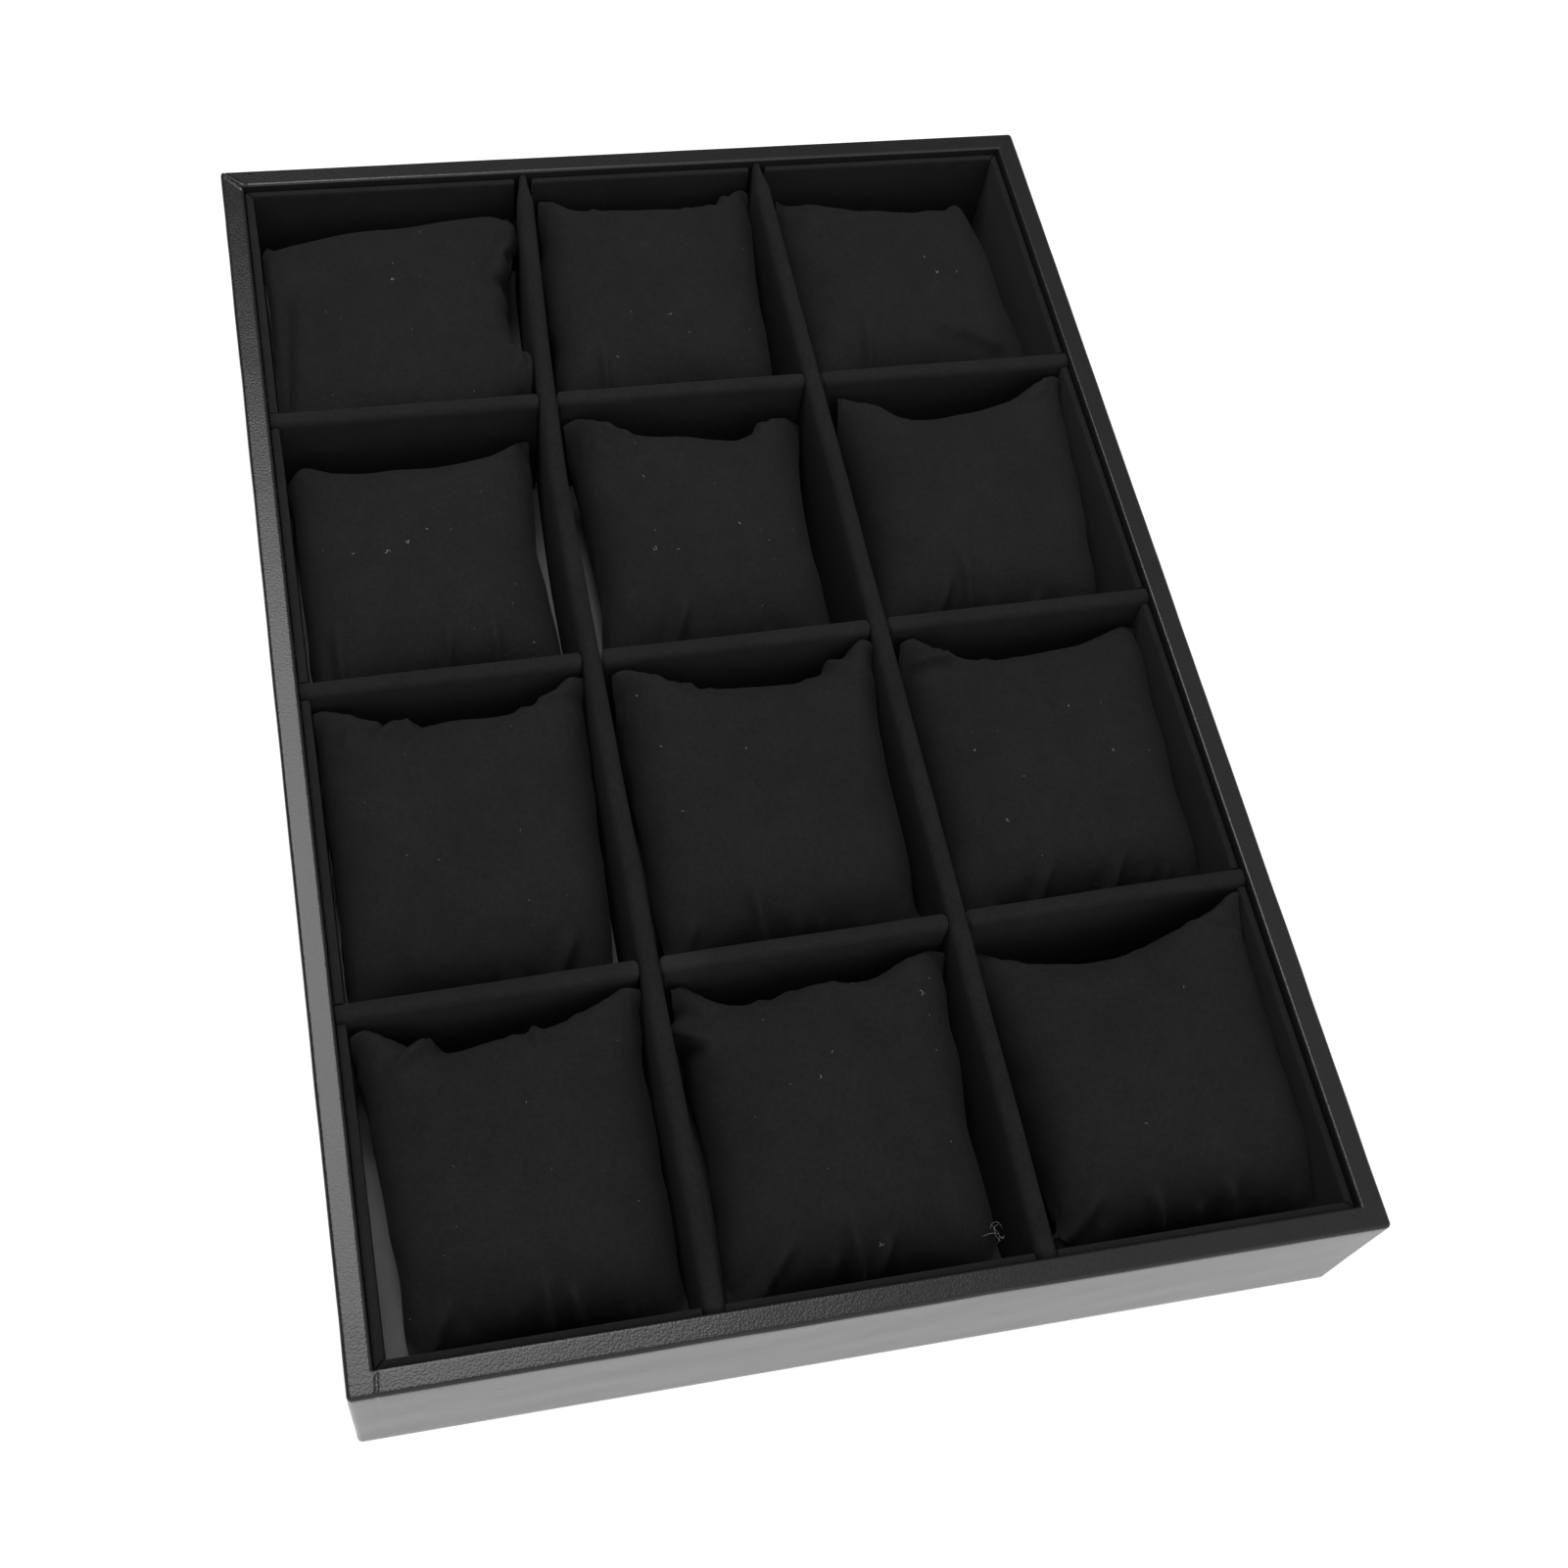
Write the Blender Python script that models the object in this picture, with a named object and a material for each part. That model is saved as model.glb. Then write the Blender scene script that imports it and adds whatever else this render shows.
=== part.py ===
"""Watch storage box: an open display tray with twelve stuffed pillows in its compartments.

Sizes are metres. +X runs to the tray's right side, +Y from its front to its back and +Z up. The
origin is on the table, under the middle of the tray. Rows count from the front and columns from
the left.
"""

import math

import bmesh
import bpy
from mathutils import Vector

# Tray walls: boards wrapped in leatherette, mitred at the corners
TRAY_WIDTH = 0.237
TRAY_LENGTH = 0.350
TRAY_HEIGHT = 0.042
WALL_THICKNESS = 0.006
RIM_OUTER_RADIUS = 0.0010
RIM_INNER_RADIUS = 0.0007
FOOT_RADIUS = 0.0006

# Bottom: a board between the walls, and the smooth sheet laid on it
BASE_THICKNESS = 0.003
FLOOR_THICKNESS = 0.001

# Velvet linings inside the walls
LINING_THICKNESS = 0.0020
LINING_BELOW_RIM = 0.0022
LINING_EDGE_RADIUS = 0.0006

# Dividers: velvet-covered boards, whose ends sit in notches in the linings
COLUMNS = 3
ROWS = 4
DIVIDER_THICKNESS = 0.0048
DIVIDER_BELOW_RIM = 0.0010
DIVIDER_TOP_RADIUS = 0.0020
TONGUE_HEIGHT = 0.0170

# Where the dividers stand off an even grid: long ones from the left, cross ones from the front
LONG_DIVIDER_SHIFTS = (-0.0017, -0.0005)
CROSS_DIVIDER_SHIFTS = (0.0, 0.0020, 0.0015)
# How much further back each cross divider's row stands at the right lining than at the left one
CROSS_DIVIDER_SKEWS = (0.0053, 0.0040, 0.0012)
# The back pillow of column 1 lies crosswise and pushes the back end of its long divider aside
DIVIDER_BEND = 0.0063
DIVIDER_BEND_LENGTH = 0.119
DIVIDER_BEND_POWER = 1.25

# Pillows: stuffed tubes of velvet, sewn flat at both ends, with a soft ear at each corner. The
# back end is drawn in further and stands higher than the front end.
CROSSWISE_PILLOWS = ((4, 1),)
PILLOW_CROWN_DROP = 0.0030
PILLOW_SIDE_GAP = 0.0020
PILLOW_END_GAP = 0.0014
PILLOW_SQUARENESS = 3.2
PILLOW_WAIST = 0.965
FRONT_END_WIDTH = 0.975
BACK_END_PULL = 0.0072
FRONT_END_PULL = 0.0034
PILLOW_SEAM_THICKNESS = 0.0030
BACK_SEAM_RISE = 0.0035
FRONT_SEAM_RISE = -0.0045
EAR_THICKNESS = 0.0090
BACK_EAR_RISE = 0.0080
FRONT_EAR_RISE = 0.0045
EAR_ROUNDING = 0.0028
EAR_PLACE = 0.84
# Powers of the pillow's curves: how late its ends set in, how long its crown stays full, how
# narrow its ears are, and how round the dip between them is
PILLOW_END_POWER = 5
PILLOW_CROWN_POWER = 6
EAR_POWER = 4
DIP_POWER = 2.5
# How far some pillows lie to the right of the middle of their compartments
PILLOW_SHIFTS = {(1, 1): 0.0012, (2, 1): 0.0010, (2, 2): 0.0008, (3, 1): 0.0008}

# Pieces that touch keep this clearance
CLEARANCE = 0.0003

# Mesh steps
ROUNDING_STEPS = 4
SMALL_ROUNDING_STEPS = 2
LONG_DIVIDER_STATIONS = 28
PILLOW_RING = 20
PILLOW_STATIONS = 14

# Heights that follow from the sizes above
FLOOR_BOTTOM = BASE_THICKNESS + CLEARANCE
FLOOR_TOP = FLOOR_BOTTOM + FLOOR_THICKNESS
INSIDE_BOTTOM = FLOOR_TOP + CLEARANCE
LINING_TOP = TRAY_HEIGHT - LINING_BELOW_RIM
DIVIDER_TOP = TRAY_HEIGHT - DIVIDER_BELOW_RIM
TONGUE_BOTTOM = DIVIDER_TOP - TONGUE_HEIGHT

# Depths from the outer face of a wall
LINING_OUTER = WALL_THICKNESS + CLEARANCE
LINING_INNER = LINING_OUTER + LINING_THICKNESS

# Half sizes of the space inside the walls, and inside the linings
WALL_HALF_WIDTH = TRAY_WIDTH / 2 - WALL_THICKNESS
WALL_HALF_LENGTH = TRAY_LENGTH / 2 - WALL_THICKNESS
HALF_WIDTH = TRAY_WIDTH / 2 - LINING_INNER
HALF_LENGTH = TRAY_LENGTH / 2 - LINING_INNER

COLUMN_WIDTH = (2 * HALF_WIDTH - (COLUMNS - 1) * DIVIDER_THICKNESS) / COLUMNS
ROW_LENGTH = (2 * HALF_LENGTH - (ROWS - 1) * DIVIDER_THICKNESS) / ROWS


def clear_scene():
    """Removes what the scene holds at the start."""
    for obj in list(bpy.data.objects):
        bpy.data.objects.remove(obj, do_unlink=True)


def make_material(name, colour, roughness, sheen=0.0):
    """A plain finish: a grey colour, a roughness and, on velvet, some sheen."""
    material = bpy.data.materials.new(name)
    material.use_nodes = True
    shader = material.node_tree.nodes["Principled BSDF"]
    shader.inputs["Base Color"].default_value = (*colour, 1.0)
    shader.inputs["Roughness"].default_value = roughness
    shader.inputs["Metallic"].default_value = 0.0
    shader.inputs["Sheen Weight"].default_value = sheen
    material.diffuse_color = (*colour, 1.0)
    return material


def make_materials():
    return {
        "leatherette": make_material("leatherette", (0.022, 0.022, 0.022), 0.42),
        "lining_velvet": make_material("lining_velvet", (0.016, 0.016, 0.016), 0.95, 0.3),
        "pillow_velvet": make_material("pillow_velvet", (0.018, 0.018, 0.018), 0.95, 0.3),
        "floor_sheet": make_material("floor_sheet", (0.055, 0.055, 0.055), 0.55),
        "base_card": make_material("base_card", (0.03, 0.03, 0.03), 0.8),
    }


def add_object(name, bm, material, tray):
    """Makes an object of a closed mesh, with its origin under its own middle."""
    bmesh.ops.recalc_face_normals(bm, faces=bm.faces)
    low = Vector(min(v.co[i] for v in bm.verts) for i in range(3))
    high = Vector(max(v.co[i] for v in bm.verts) for i in range(3))
    foot = Vector(((low.x + high.x) / 2, (low.y + high.y) / 2, low.z))
    bmesh.ops.translate(bm, verts=bm.verts, vec=-foot)
    mesh = bpy.data.meshes.new(name)
    bm.to_mesh(mesh)
    bm.free()
    obj = bpy.data.objects.new(name, mesh)
    obj.location = foot
    obj.parent = tray
    bpy.context.scene.collection.objects.link(obj)
    if material:
        mesh.materials.append(material)
    return obj


def add_cutter(name, low, high, tray):
    """A box that only cuts another piece."""
    bm = bmesh.new()
    bmesh.ops.create_cube(bm, size=1.0)
    size = Vector(high) - Vector(low)
    middle = (Vector(high) + Vector(low)) / 2
    for vert in bm.verts:
        vert.co = Vector(vert.co[i] * size[i] + middle[i] for i in range(3))
    cutter = add_object(name, bm, None, tray)
    cutter.hide_render = True
    cutter.display_type = "WIRE"
    return cutter


def cut(obj, cutter):
    modifier = obj.modifiers.new("cut " + cutter.name, "BOOLEAN")
    modifier.operation = "DIFFERENCE"
    modifier.solver = "EXACT"
    modifier.object = cutter


def shade_round(obj, degrees=40.0):
    """Shades an object smooth, apart from edges sharper than the angle."""
    obj.data.shade_smooth()
    obj.data.set_sharp_from_angle(angle=math.radians(degrees))


def arc(centre, radius, start, end, steps):
    """Points of a circle's arc from one angle to another, in degrees."""
    points = []
    for i in range(steps + 1):
        angle = math.radians(start + (end - start) * i / steps)
        points.append((centre[0] + radius * math.cos(angle), centre[1] + radius * math.sin(angle)))
    return points


def sweep(sections):
    """A closed mesh through equal-length loops of points, with its first and last loop filled."""
    bm = bmesh.new()
    rings = [[bm.verts.new(point) for point in section] for section in sections]
    count = len(rings[0])
    for first, second in zip(rings, rings[1:]):
        for i in range(count):
            j = (i + 1) % count
            bm.faces.new((first[i], first[j], second[j], second[i]))
    bm.faces.new(rings[0])
    bm.faces.new(rings[-1][::-1])
    return bm


def mitred_board(name, side, profile, material, tray):
    """A board along one side of the tray, from mitre to mitre.

    The profile holds (depth from the tray's outer face, height) points. Each point's run ends
    where the mitre plane crosses that depth, less half the clearance between the two boards.
    """
    mitre_gap = CLEARANCE / math.sqrt(2)
    along_x = side in ("front", "back")
    half_run = (TRAY_WIDTH if along_x else TRAY_LENGTH) / 2
    half_depth = (TRAY_LENGTH if along_x else TRAY_WIDTH) / 2
    outward = 1 if side in ("back", "right") else -1
    sections = []
    for end in (-1, 1):
        section = []
        for depth, height in profile:
            run = end * (half_run - depth - mitre_gap)
            across = outward * (half_depth - depth)
            section.append((run, across, height) if along_x else (across, run, height))
        sections.append(section)
    return add_object(name, sweep(sections), material, tray)


def wall_profile():
    """A wall's section: flat rim with rounded edges, and a slightly rounded foot outside."""
    outer = RIM_OUTER_RADIUS
    inner = RIM_INNER_RADIUS
    top = TRAY_HEIGHT
    points = [(WALL_THICKNESS, 0.0)]
    points += arc((WALL_THICKNESS - inner, top - inner), inner, 0, 90, SMALL_ROUNDING_STEPS)
    points += arc((outer, top - outer), outer, 90, 180, ROUNDING_STEPS)
    points += arc((FOOT_RADIUS, FOOT_RADIUS), FOOT_RADIUS, 180, 270, SMALL_ROUNDING_STEPS)
    return points


def lining_profile():
    """A lining's section: a thin strip with soft top edges."""
    radius = LINING_EDGE_RADIUS
    top = LINING_TOP
    points = [(LINING_OUTER, INSIDE_BOTTOM), (LINING_INNER, INSIDE_BOTTOM)]
    points += arc((LINING_INNER - radius, top - radius), radius, 0, 90, SMALL_ROUNDING_STEPS)
    points += arc((LINING_OUTER + radius, top - radius), radius, 90, 180, SMALL_ROUNDING_STEPS)
    return points


def divider_profile():
    """A divider's section, as (across, height): straight sides and a rounded top."""
    half = DIVIDER_THICKNESS / 2
    radius = DIVIDER_TOP_RADIUS
    top = DIVIDER_TOP
    points = [(-half, INSIDE_BOTTOM), (half, INSIDE_BOTTOM)]
    points += arc((half - radius, top - radius), radius, 0, 90, ROUNDING_STEPS)
    points += arc((radius - half, top - radius), radius, 90, 180, ROUNDING_STEPS)
    return points


def long_divider_x(index, y):
    """Where the middle of a long divider stands at y: 0 is the left one."""
    even = -HALF_WIDTH + (index + 1) * COLUMN_WIDTH + (index + 0.5) * DIVIDER_THICKNESS
    x = even + LONG_DIVIDER_SHIFTS[index]
    if index == 0:
        start = WALL_HALF_LENGTH - DIVIDER_BEND_LENGTH
        share = max(0.0, (y - start) / DIVIDER_BEND_LENGTH)
        x += DIVIDER_BEND * share**DIVIDER_BEND_POWER
    return x


def cross_divider_y(index, x):
    """Where the middle of a row of cross dividers stands at x: 0 is the front row."""
    even = -HALF_LENGTH + (index + 1) * ROW_LENGTH + (index + 0.5) * DIVIDER_THICKNESS
    skew = CROSS_DIVIDER_SKEWS[index] * x / (2 * HALF_WIDTH)
    return even + CROSS_DIVIDER_SHIFTS[index] + skew


def column_side(column, y, right):
    """x of a compartment's left or right face at y, for column 1 to COLUMNS."""
    half = DIVIDER_THICKNESS / 2
    if right:
        return HALF_WIDTH if column == COLUMNS else long_divider_x(column - 1, y) - half
    return -HALF_WIDTH if column == 1 else long_divider_x(column - 2, y) + half


def row_side(row, x, back):
    """y of a compartment's front or back face at x, for row 1 to ROWS."""
    half = DIVIDER_THICKNESS / 2
    if back:
        return HALF_LENGTH if row == ROWS else cross_divider_y(row - 1, x) - half
    return -HALF_LENGTH if row == 1 else cross_divider_y(row - 2, x) + half


def add_walls(materials, tray):
    for side in ("front", "back", "left", "right"):
        wall = mitred_board("frame_" + side, side, wall_profile(), materials["leatherette"], tray)
        shade_round(wall)


def add_bottom(materials, tray):
    """The base board, and the floor sheet on it, both with clearance to the walls."""
    half_x = WALL_HALF_WIDTH - CLEARANCE
    half_y = WALL_HALF_LENGTH - CLEARANCE
    corners = ((-half_x, -half_y), (half_x, -half_y), (half_x, half_y), (-half_x, half_y))
    base = sweep([[(x, y, z) for x, y in corners] for z in (0.0, BASE_THICKNESS)])
    add_object("base_board", base, materials["base_card"], tray)
    floor = sweep([[(x, y, z) for x, y in corners] for z in (FLOOR_BOTTOM, FLOOR_TOP)])
    add_object("floor_lining", floor, materials["floor_sheet"], tray)


def add_notch(lining, side, place, tray):
    """Cuts the notch that a divider's tongue sits in, at its place along the lining."""
    along_x = side in ("front", "back")
    half_depth = (TRAY_LENGTH if along_x else TRAY_WIDTH) / 2
    outward = 1 if side in ("back", "right") else -1
    half = DIVIDER_THICKNESS / 2 + CLEARANCE
    past = LINING_THICKNESS
    depths = sorted(outward * (half_depth - depth) for depth in (LINING_OUTER - past, LINING_INNER + past))
    bottom = TONGUE_BOTTOM - CLEARANCE
    low = (place - half, depths[0], bottom) if along_x else (depths[0], place - half, bottom)
    top = TRAY_HEIGHT + past
    high = (place + half, depths[1], top) if along_x else (depths[1], place + half, top)
    cut(lining, add_cutter("notch_" + side + str(len(lining.modifiers) + 1), low, high, tray))


def add_linings(materials, tray):
    """Four lining strips, notched where the dividers end."""
    middle = WALL_THICKNESS + CLEARANCE + LINING_THICKNESS / 2
    for side in ("front", "back", "left", "right"):
        lining = mitred_board("lining_" + side, side, lining_profile(), materials["lining_velvet"], tray)
        shade_round(lining)
        if side in ("front", "back"):
            y = (1 if side == "back" else -1) * (TRAY_LENGTH / 2 - middle)
            for index in range(COLUMNS - 1):
                add_notch(lining, side, long_divider_x(index, y), tray)
        else:
            x = (1 if side == "right" else -1) * (TRAY_WIDTH / 2 - middle)
            for index in range(ROWS - 1):
                add_notch(lining, side, cross_divider_y(index, x), tray)


def add_long_dividers(materials, tray):
    """Two boards from wall to wall, stepped at both ends so that only a tongue passes the lining."""
    reach = WALL_HALF_LENGTH - CLEARANCE
    for index, side in enumerate(("left", "right")):
        sections = []
        for i in range(LONG_DIVIDER_STATIONS + 1):
            y = -reach + 2 * reach * i / LONG_DIVIDER_STATIONS
            x = long_divider_x(index, y)
            sections.append([(x + across, y, height) for across, height in divider_profile()])
        name = "long_divider_" + side
        divider = add_object(name, sweep(sections), materials["lining_velvet"], tray)
        shade_round(divider)
        for end, outward in (("front", -1), ("back", 1)):
            step = sorted(outward * y for y in (HALF_LENGTH - CLEARANCE, WALL_HALF_LENGTH + CLEARANCE))
            x = long_divider_x(index, outward * HALF_LENGTH)
            half = 2 * DIVIDER_THICKNESS
            low = (x - half, step[0], -CLEARANCE)
            high = (x + half, step[1], TONGUE_BOTTOM)
            cut(divider, add_cutter("step_" + side + "_" + end, low, high, tray))


def cross_divider_end(index, column, across, right):
    """x where a cross divider ends, for a point this far across its middle line."""
    sign = 1 if right else -1
    if column == (COLUMNS if right else 1):
        return sign * (WALL_HALF_WIDTH - CLEARANCE)
    x = 0.0
    for _ in range(4):
        y = cross_divider_y(index, x) + across
        x = column_side(column, y, right) - sign * CLEARANCE
    return x


def add_cross_dividers(materials, tray):
    """Nine short boards: they butt against the long ones, and their wall ends are tongues."""
    for index in range(ROWS - 1):
        for column in range(1, COLUMNS + 1):
            sections = []
            for right in (False, True):
                section = []
                for across, height in divider_profile():
                    x = cross_divider_end(index, column, across, right)
                    section.append((x, cross_divider_y(index, x) + across, height))
                sections.append(section)
            name = "cross_divider_r%d_c%d" % (index + 1, column)
            divider = add_object(name, sweep(sections), materials["lining_velvet"], tray)
            shade_round(divider)
            if column not in (1, COLUMNS):
                continue
            outward = 1 if column == COLUMNS else -1
            step = sorted(outward * x for x in (HALF_WIDTH - CLEARANCE, WALL_HALF_WIDTH + CLEARANCE))
            y = cross_divider_y(index, outward * HALF_WIDTH)
            half = 2 * DIVIDER_THICKNESS
            low = (step[0], y - half, -CLEARANCE)
            high = (step[1], y + half, TONGUE_BOTTOM)
            cut(divider, add_cutter("step_" + name, low, high, tray))


def in_compartment(row, column, s, t, gap_x, gap_y):
    """The plan point at share s from left to right and t from front to back, each from -1 to 1."""
    x = 0.0
    y = 0.0
    for _ in range(4):
        left = column_side(column, y, False) + gap_x
        right = column_side(column, y, True) - gap_x
        x = left + (right - left) * (s + 1) / 2
        front = row_side(row, x, False) + gap_y
        back = row_side(row, x, True) - gap_y
        y = front + (back - front) * (t + 1) / 2
    return x, y


def pillow_shape(v, angle, half_height):
    """A pillow's point as (pull, across, height) for a place v from -1 to 1 along the tube.

    Round the tube the section is a superellipse. Its height shrinks to the flat end seam, and its
    width is least at the waist. At the ends the seam is pulled in between two ears, which are
    thicker, rounded and stand higher. The pull is a length, and so is the height.
    """
    at_back = v > 0
    cos, sin = math.cos(angle), math.sin(angle)
    across = math.copysign(abs(cos) ** (2 / PILLOW_SQUARENESS), cos)
    up = math.copysign(abs(sin) ** (2 / PILLOW_SQUARENESS), sin)
    near_end = abs(v) ** PILLOW_END_POWER
    fullness = (1 - abs(v) ** PILLOW_CROWN_POWER) ** 0.5
    ear = abs(across) ** EAR_POWER
    seam = (PILLOW_SEAM_THICKNESS + (EAR_THICKNESS - PILLOW_SEAM_THICKNESS) * ear) / 2
    seam_rise = BACK_SEAM_RISE if at_back else FRONT_SEAM_RISE
    ear_rise = BACK_EAR_RISE if at_back else FRONT_EAR_RISE
    lift = near_end * (seam_rise + ear_rise * abs(across) ** DIP_POWER)
    height = up * (seam + (half_height - seam) * fullness) + lift
    end_pull = BACK_END_PULL if at_back else FRONT_END_PULL
    inside = min(abs(across) / EAR_PLACE, 1.0)
    outside = max(abs(across) - EAR_PLACE, 0.0) / (1 - EAR_PLACE)
    pull = near_end * (end_pull * (1 - inside**DIP_POWER) + EAR_ROUNDING * outside**2)
    end_width = 1.0 if at_back else FRONT_END_WIDTH
    width = PILLOW_WAIST + (end_width - PILLOW_WAIST) * near_end
    return pull, across * width, height


def add_pillow(row, column, material, tray):
    """A pillow that fills its compartment less the gaps, along Y or, where turned, along X."""
    crosswise = (row, column) in CROSSWISE_PILLOWS
    half_height = (DIVIDER_TOP - PILLOW_CROWN_DROP - INSIDE_BOTTOM) / 2
    gaps = (PILLOW_END_GAP, PILLOW_SIDE_GAP) if crosswise else (PILLOW_SIDE_GAP, PILLOW_END_GAP)
    half_length = (COLUMN_WIDTH if crosswise else ROW_LENGTH) / 2 - PILLOW_END_GAP
    shift = PILLOW_SHIFTS.get((row, column), 0.0)
    bm = bmesh.new()
    rings = []
    for i in range(PILLOW_STATIONS + 1):
        v = -math.cos(math.pi * i / PILLOW_STATIONS)
        ring = []
        for j in range(PILLOW_RING):
            pull, across, height = pillow_shape(v, 2 * math.pi * j / PILLOW_RING, half_height)
            along = v - math.copysign(pull / half_length, v)
            s, t = (along, across) if crosswise else (across, along)
            x, y = in_compartment(row, column, s, t, *gaps)
            ring.append(bm.verts.new((x + shift, y, INSIDE_BOTTOM + half_height + height)))
        rings.append(ring)
    for first, second in zip(rings, rings[1:]):
        for i in range(PILLOW_RING):
            j = (i + 1) % PILLOW_RING
            bm.faces.new((first[i], first[j], second[j], second[i]))
    for ring in (rings[0], rings[-1]):
        close_seam(bm, ring)
    pillow = add_object("pillow_r%d_c%d" % (row, column), bm, material, tray)
    shade_round(pillow, 60.0)


def close_seam(bm, ring):
    """Fills a flat end with a strip of faces between its upper and its lower edge."""
    count = len(ring)
    bm.faces.new((ring[0], ring[1], ring[-1]))
    for i in range(1, count // 2 - 1):
        bm.faces.new((ring[i], ring[i + 1], ring[count - i - 1], ring[count - i]))
    bm.faces.new((ring[count // 2 - 1], ring[count // 2], ring[count // 2 + 1]))


def add_pillows(materials, tray):
    for row in range(1, ROWS + 1):
        for column in range(1, COLUMNS + 1):
            add_pillow(row, column, materials["pillow_velvet"], tray)


def main():
    clear_scene()
    materials = make_materials()
    tray = bpy.data.objects.new("tray", None)
    bpy.context.scene.collection.objects.link(tray)
    add_walls(materials, tray)
    add_bottom(materials, tray)
    add_linings(materials, tray)
    add_long_dividers(materials, tray)
    add_cross_dividers(materials, tray)
    add_pillows(materials, tray)


main()
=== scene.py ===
"""Looks of an open watch display tray: wrapped walls, velvet compartments and twelve stuffed pillows.

Sizes are metres, in the frame's axes: +X to the tray's right side, +Y to its back and +Z up. The
walls, dividers and pillows are surfaces worked out with numpy and stand for the frame's solids.
The covers of the pillows' forms are inflated as cloth, for the small folds in their middles.
"""

import math

import bmesh
import bpy
import numpy as np
from bpy.props import FloatProperty, FloatVectorProperty, IntProperty, PointerProperty
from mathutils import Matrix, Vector
from mathutils.bvhtree import BVHTree


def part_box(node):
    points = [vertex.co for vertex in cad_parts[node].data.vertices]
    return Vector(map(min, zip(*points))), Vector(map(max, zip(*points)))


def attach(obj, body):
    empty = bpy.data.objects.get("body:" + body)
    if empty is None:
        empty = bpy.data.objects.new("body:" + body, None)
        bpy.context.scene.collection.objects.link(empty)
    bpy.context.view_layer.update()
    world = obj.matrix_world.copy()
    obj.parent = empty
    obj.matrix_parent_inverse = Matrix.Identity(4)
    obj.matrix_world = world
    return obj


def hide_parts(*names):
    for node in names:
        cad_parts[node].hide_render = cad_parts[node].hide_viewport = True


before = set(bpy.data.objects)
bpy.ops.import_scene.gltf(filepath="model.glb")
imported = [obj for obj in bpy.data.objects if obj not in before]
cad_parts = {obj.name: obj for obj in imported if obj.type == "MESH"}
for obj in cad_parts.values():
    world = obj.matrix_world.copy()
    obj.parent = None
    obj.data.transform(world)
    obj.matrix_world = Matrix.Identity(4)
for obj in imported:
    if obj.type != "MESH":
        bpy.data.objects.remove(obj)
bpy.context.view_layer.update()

bl_info = {
    "name": "Watch Display Tray",
    "version": (1, 0, 0),
    "blender": (4, 5, 0),
    "location": "3D View > Sidebar > Watch Tray",
    "description": "Leatherette tray with velvet compartments and stuffed pillows",
    "category": "Object",
}

MM = 0.001

COLUMNS = (1, 2, 3)
ROWS = (1, 2, 3, 4)
WALLS = ("frame_front", "frame_back", "frame_left", "frame_right")
LININGS = ("lining_front", "lining_back", "lining_left", "lining_right")
LONG_DIVIDERS = ("long_divider_left", "long_divider_right")

# Places that come from the frame's solids, and the thickness that their dividers have
WALL_LOW, WALL_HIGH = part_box("frame_right")
TRAY_HALF_WIDTH = WALL_HIGH.x
TRAY_HALF_LENGTH = WALL_HIGH.y
TRAY_HEIGHT = WALL_HIGH.z
WALL_THICKNESS = WALL_HIGH.x - WALL_LOW.x
INSIDE_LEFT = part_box("lining_left")[1].x
INSIDE_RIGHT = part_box("lining_right")[0].x
INSIDE_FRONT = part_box("lining_front")[1].y
INSIDE_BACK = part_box("lining_back")[0].y
INSIDE_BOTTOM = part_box("lining_left")[0].z
DIVIDER_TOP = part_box("long_divider_left")[1].z
DIVIDER_THICKNESS = 0.0048


class TraySettings(bpy.types.PropertyGroup):
    """Sizes and colours of the walls, the linings and the dividers."""

    leatherette_colour: FloatVectorProperty(
        name="Leatherette Colour", description="Colour of the wall covering",
        default=(0.009, 0.009, 0.009), size=3, min=0.0, max=1.0, subtype="COLOR")
    leatherette_roughness: FloatProperty(
        name="Leatherette Roughness", description="Roughness of the wall covering",
        default=0.50, min=0.0, max=1.0)
    coat_roughness: FloatProperty(
        name="Coat Roughness", description="Roughness of the wall covering's clear top layer",
        default=0.24, min=0.0, max=1.0)
    grain_size: FloatProperty(
        name="Grain Size", description="Width of a pebble of the leatherette's grain",
        default=0.00060, unit="LENGTH")
    velvet_colour: FloatVectorProperty(
        name="Velvet Colour", description="Colour of the linings and dividers",
        default=(0.0106, 0.0106, 0.0106), size=3, min=0.0, max=1.0, subtype="COLOR")
    velvet_sheen: FloatProperty(
        name="Velvet Sheen", description="Strength of the sheen of the linings and dividers",
        default=0.03, min=0.0, max=1.0)
    long_divider_sheen: FloatProperty(
        name="Long Divider Sheen", description="Strength of the sheen of the two long dividers",
        default=0.010, min=0.0, max=1.0)
    floor_colour: FloatVectorProperty(
        name="Floor Colour", description="Colour of the smooth sheet under the pillows",
        default=(0.030, 0.030, 0.030), size=3, min=0.0, max=1.0, subtype="COLOR")
    corner_radius: FloatProperty(
        name="Corner Radius", description="Radius of the walls' outer upright edges",
        default=0.0013, unit="LENGTH")
    rim_radius: FloatProperty(
        name="Rim Radius", description="Radius of the rim's outer edge",
        default=0.0009, unit="LENGTH")
    wrap_ripple: FloatProperty(
        name="Wrap Ripple", description="How far the covering's surface swells and dips",
        default=0.00004, unit="LENGTH")
    divider_wobble: FloatProperty(
        name="Divider Wobble", description="How far the dividers' velvet edges stray from straight",
        default=0.00007, unit="LENGTH")


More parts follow.
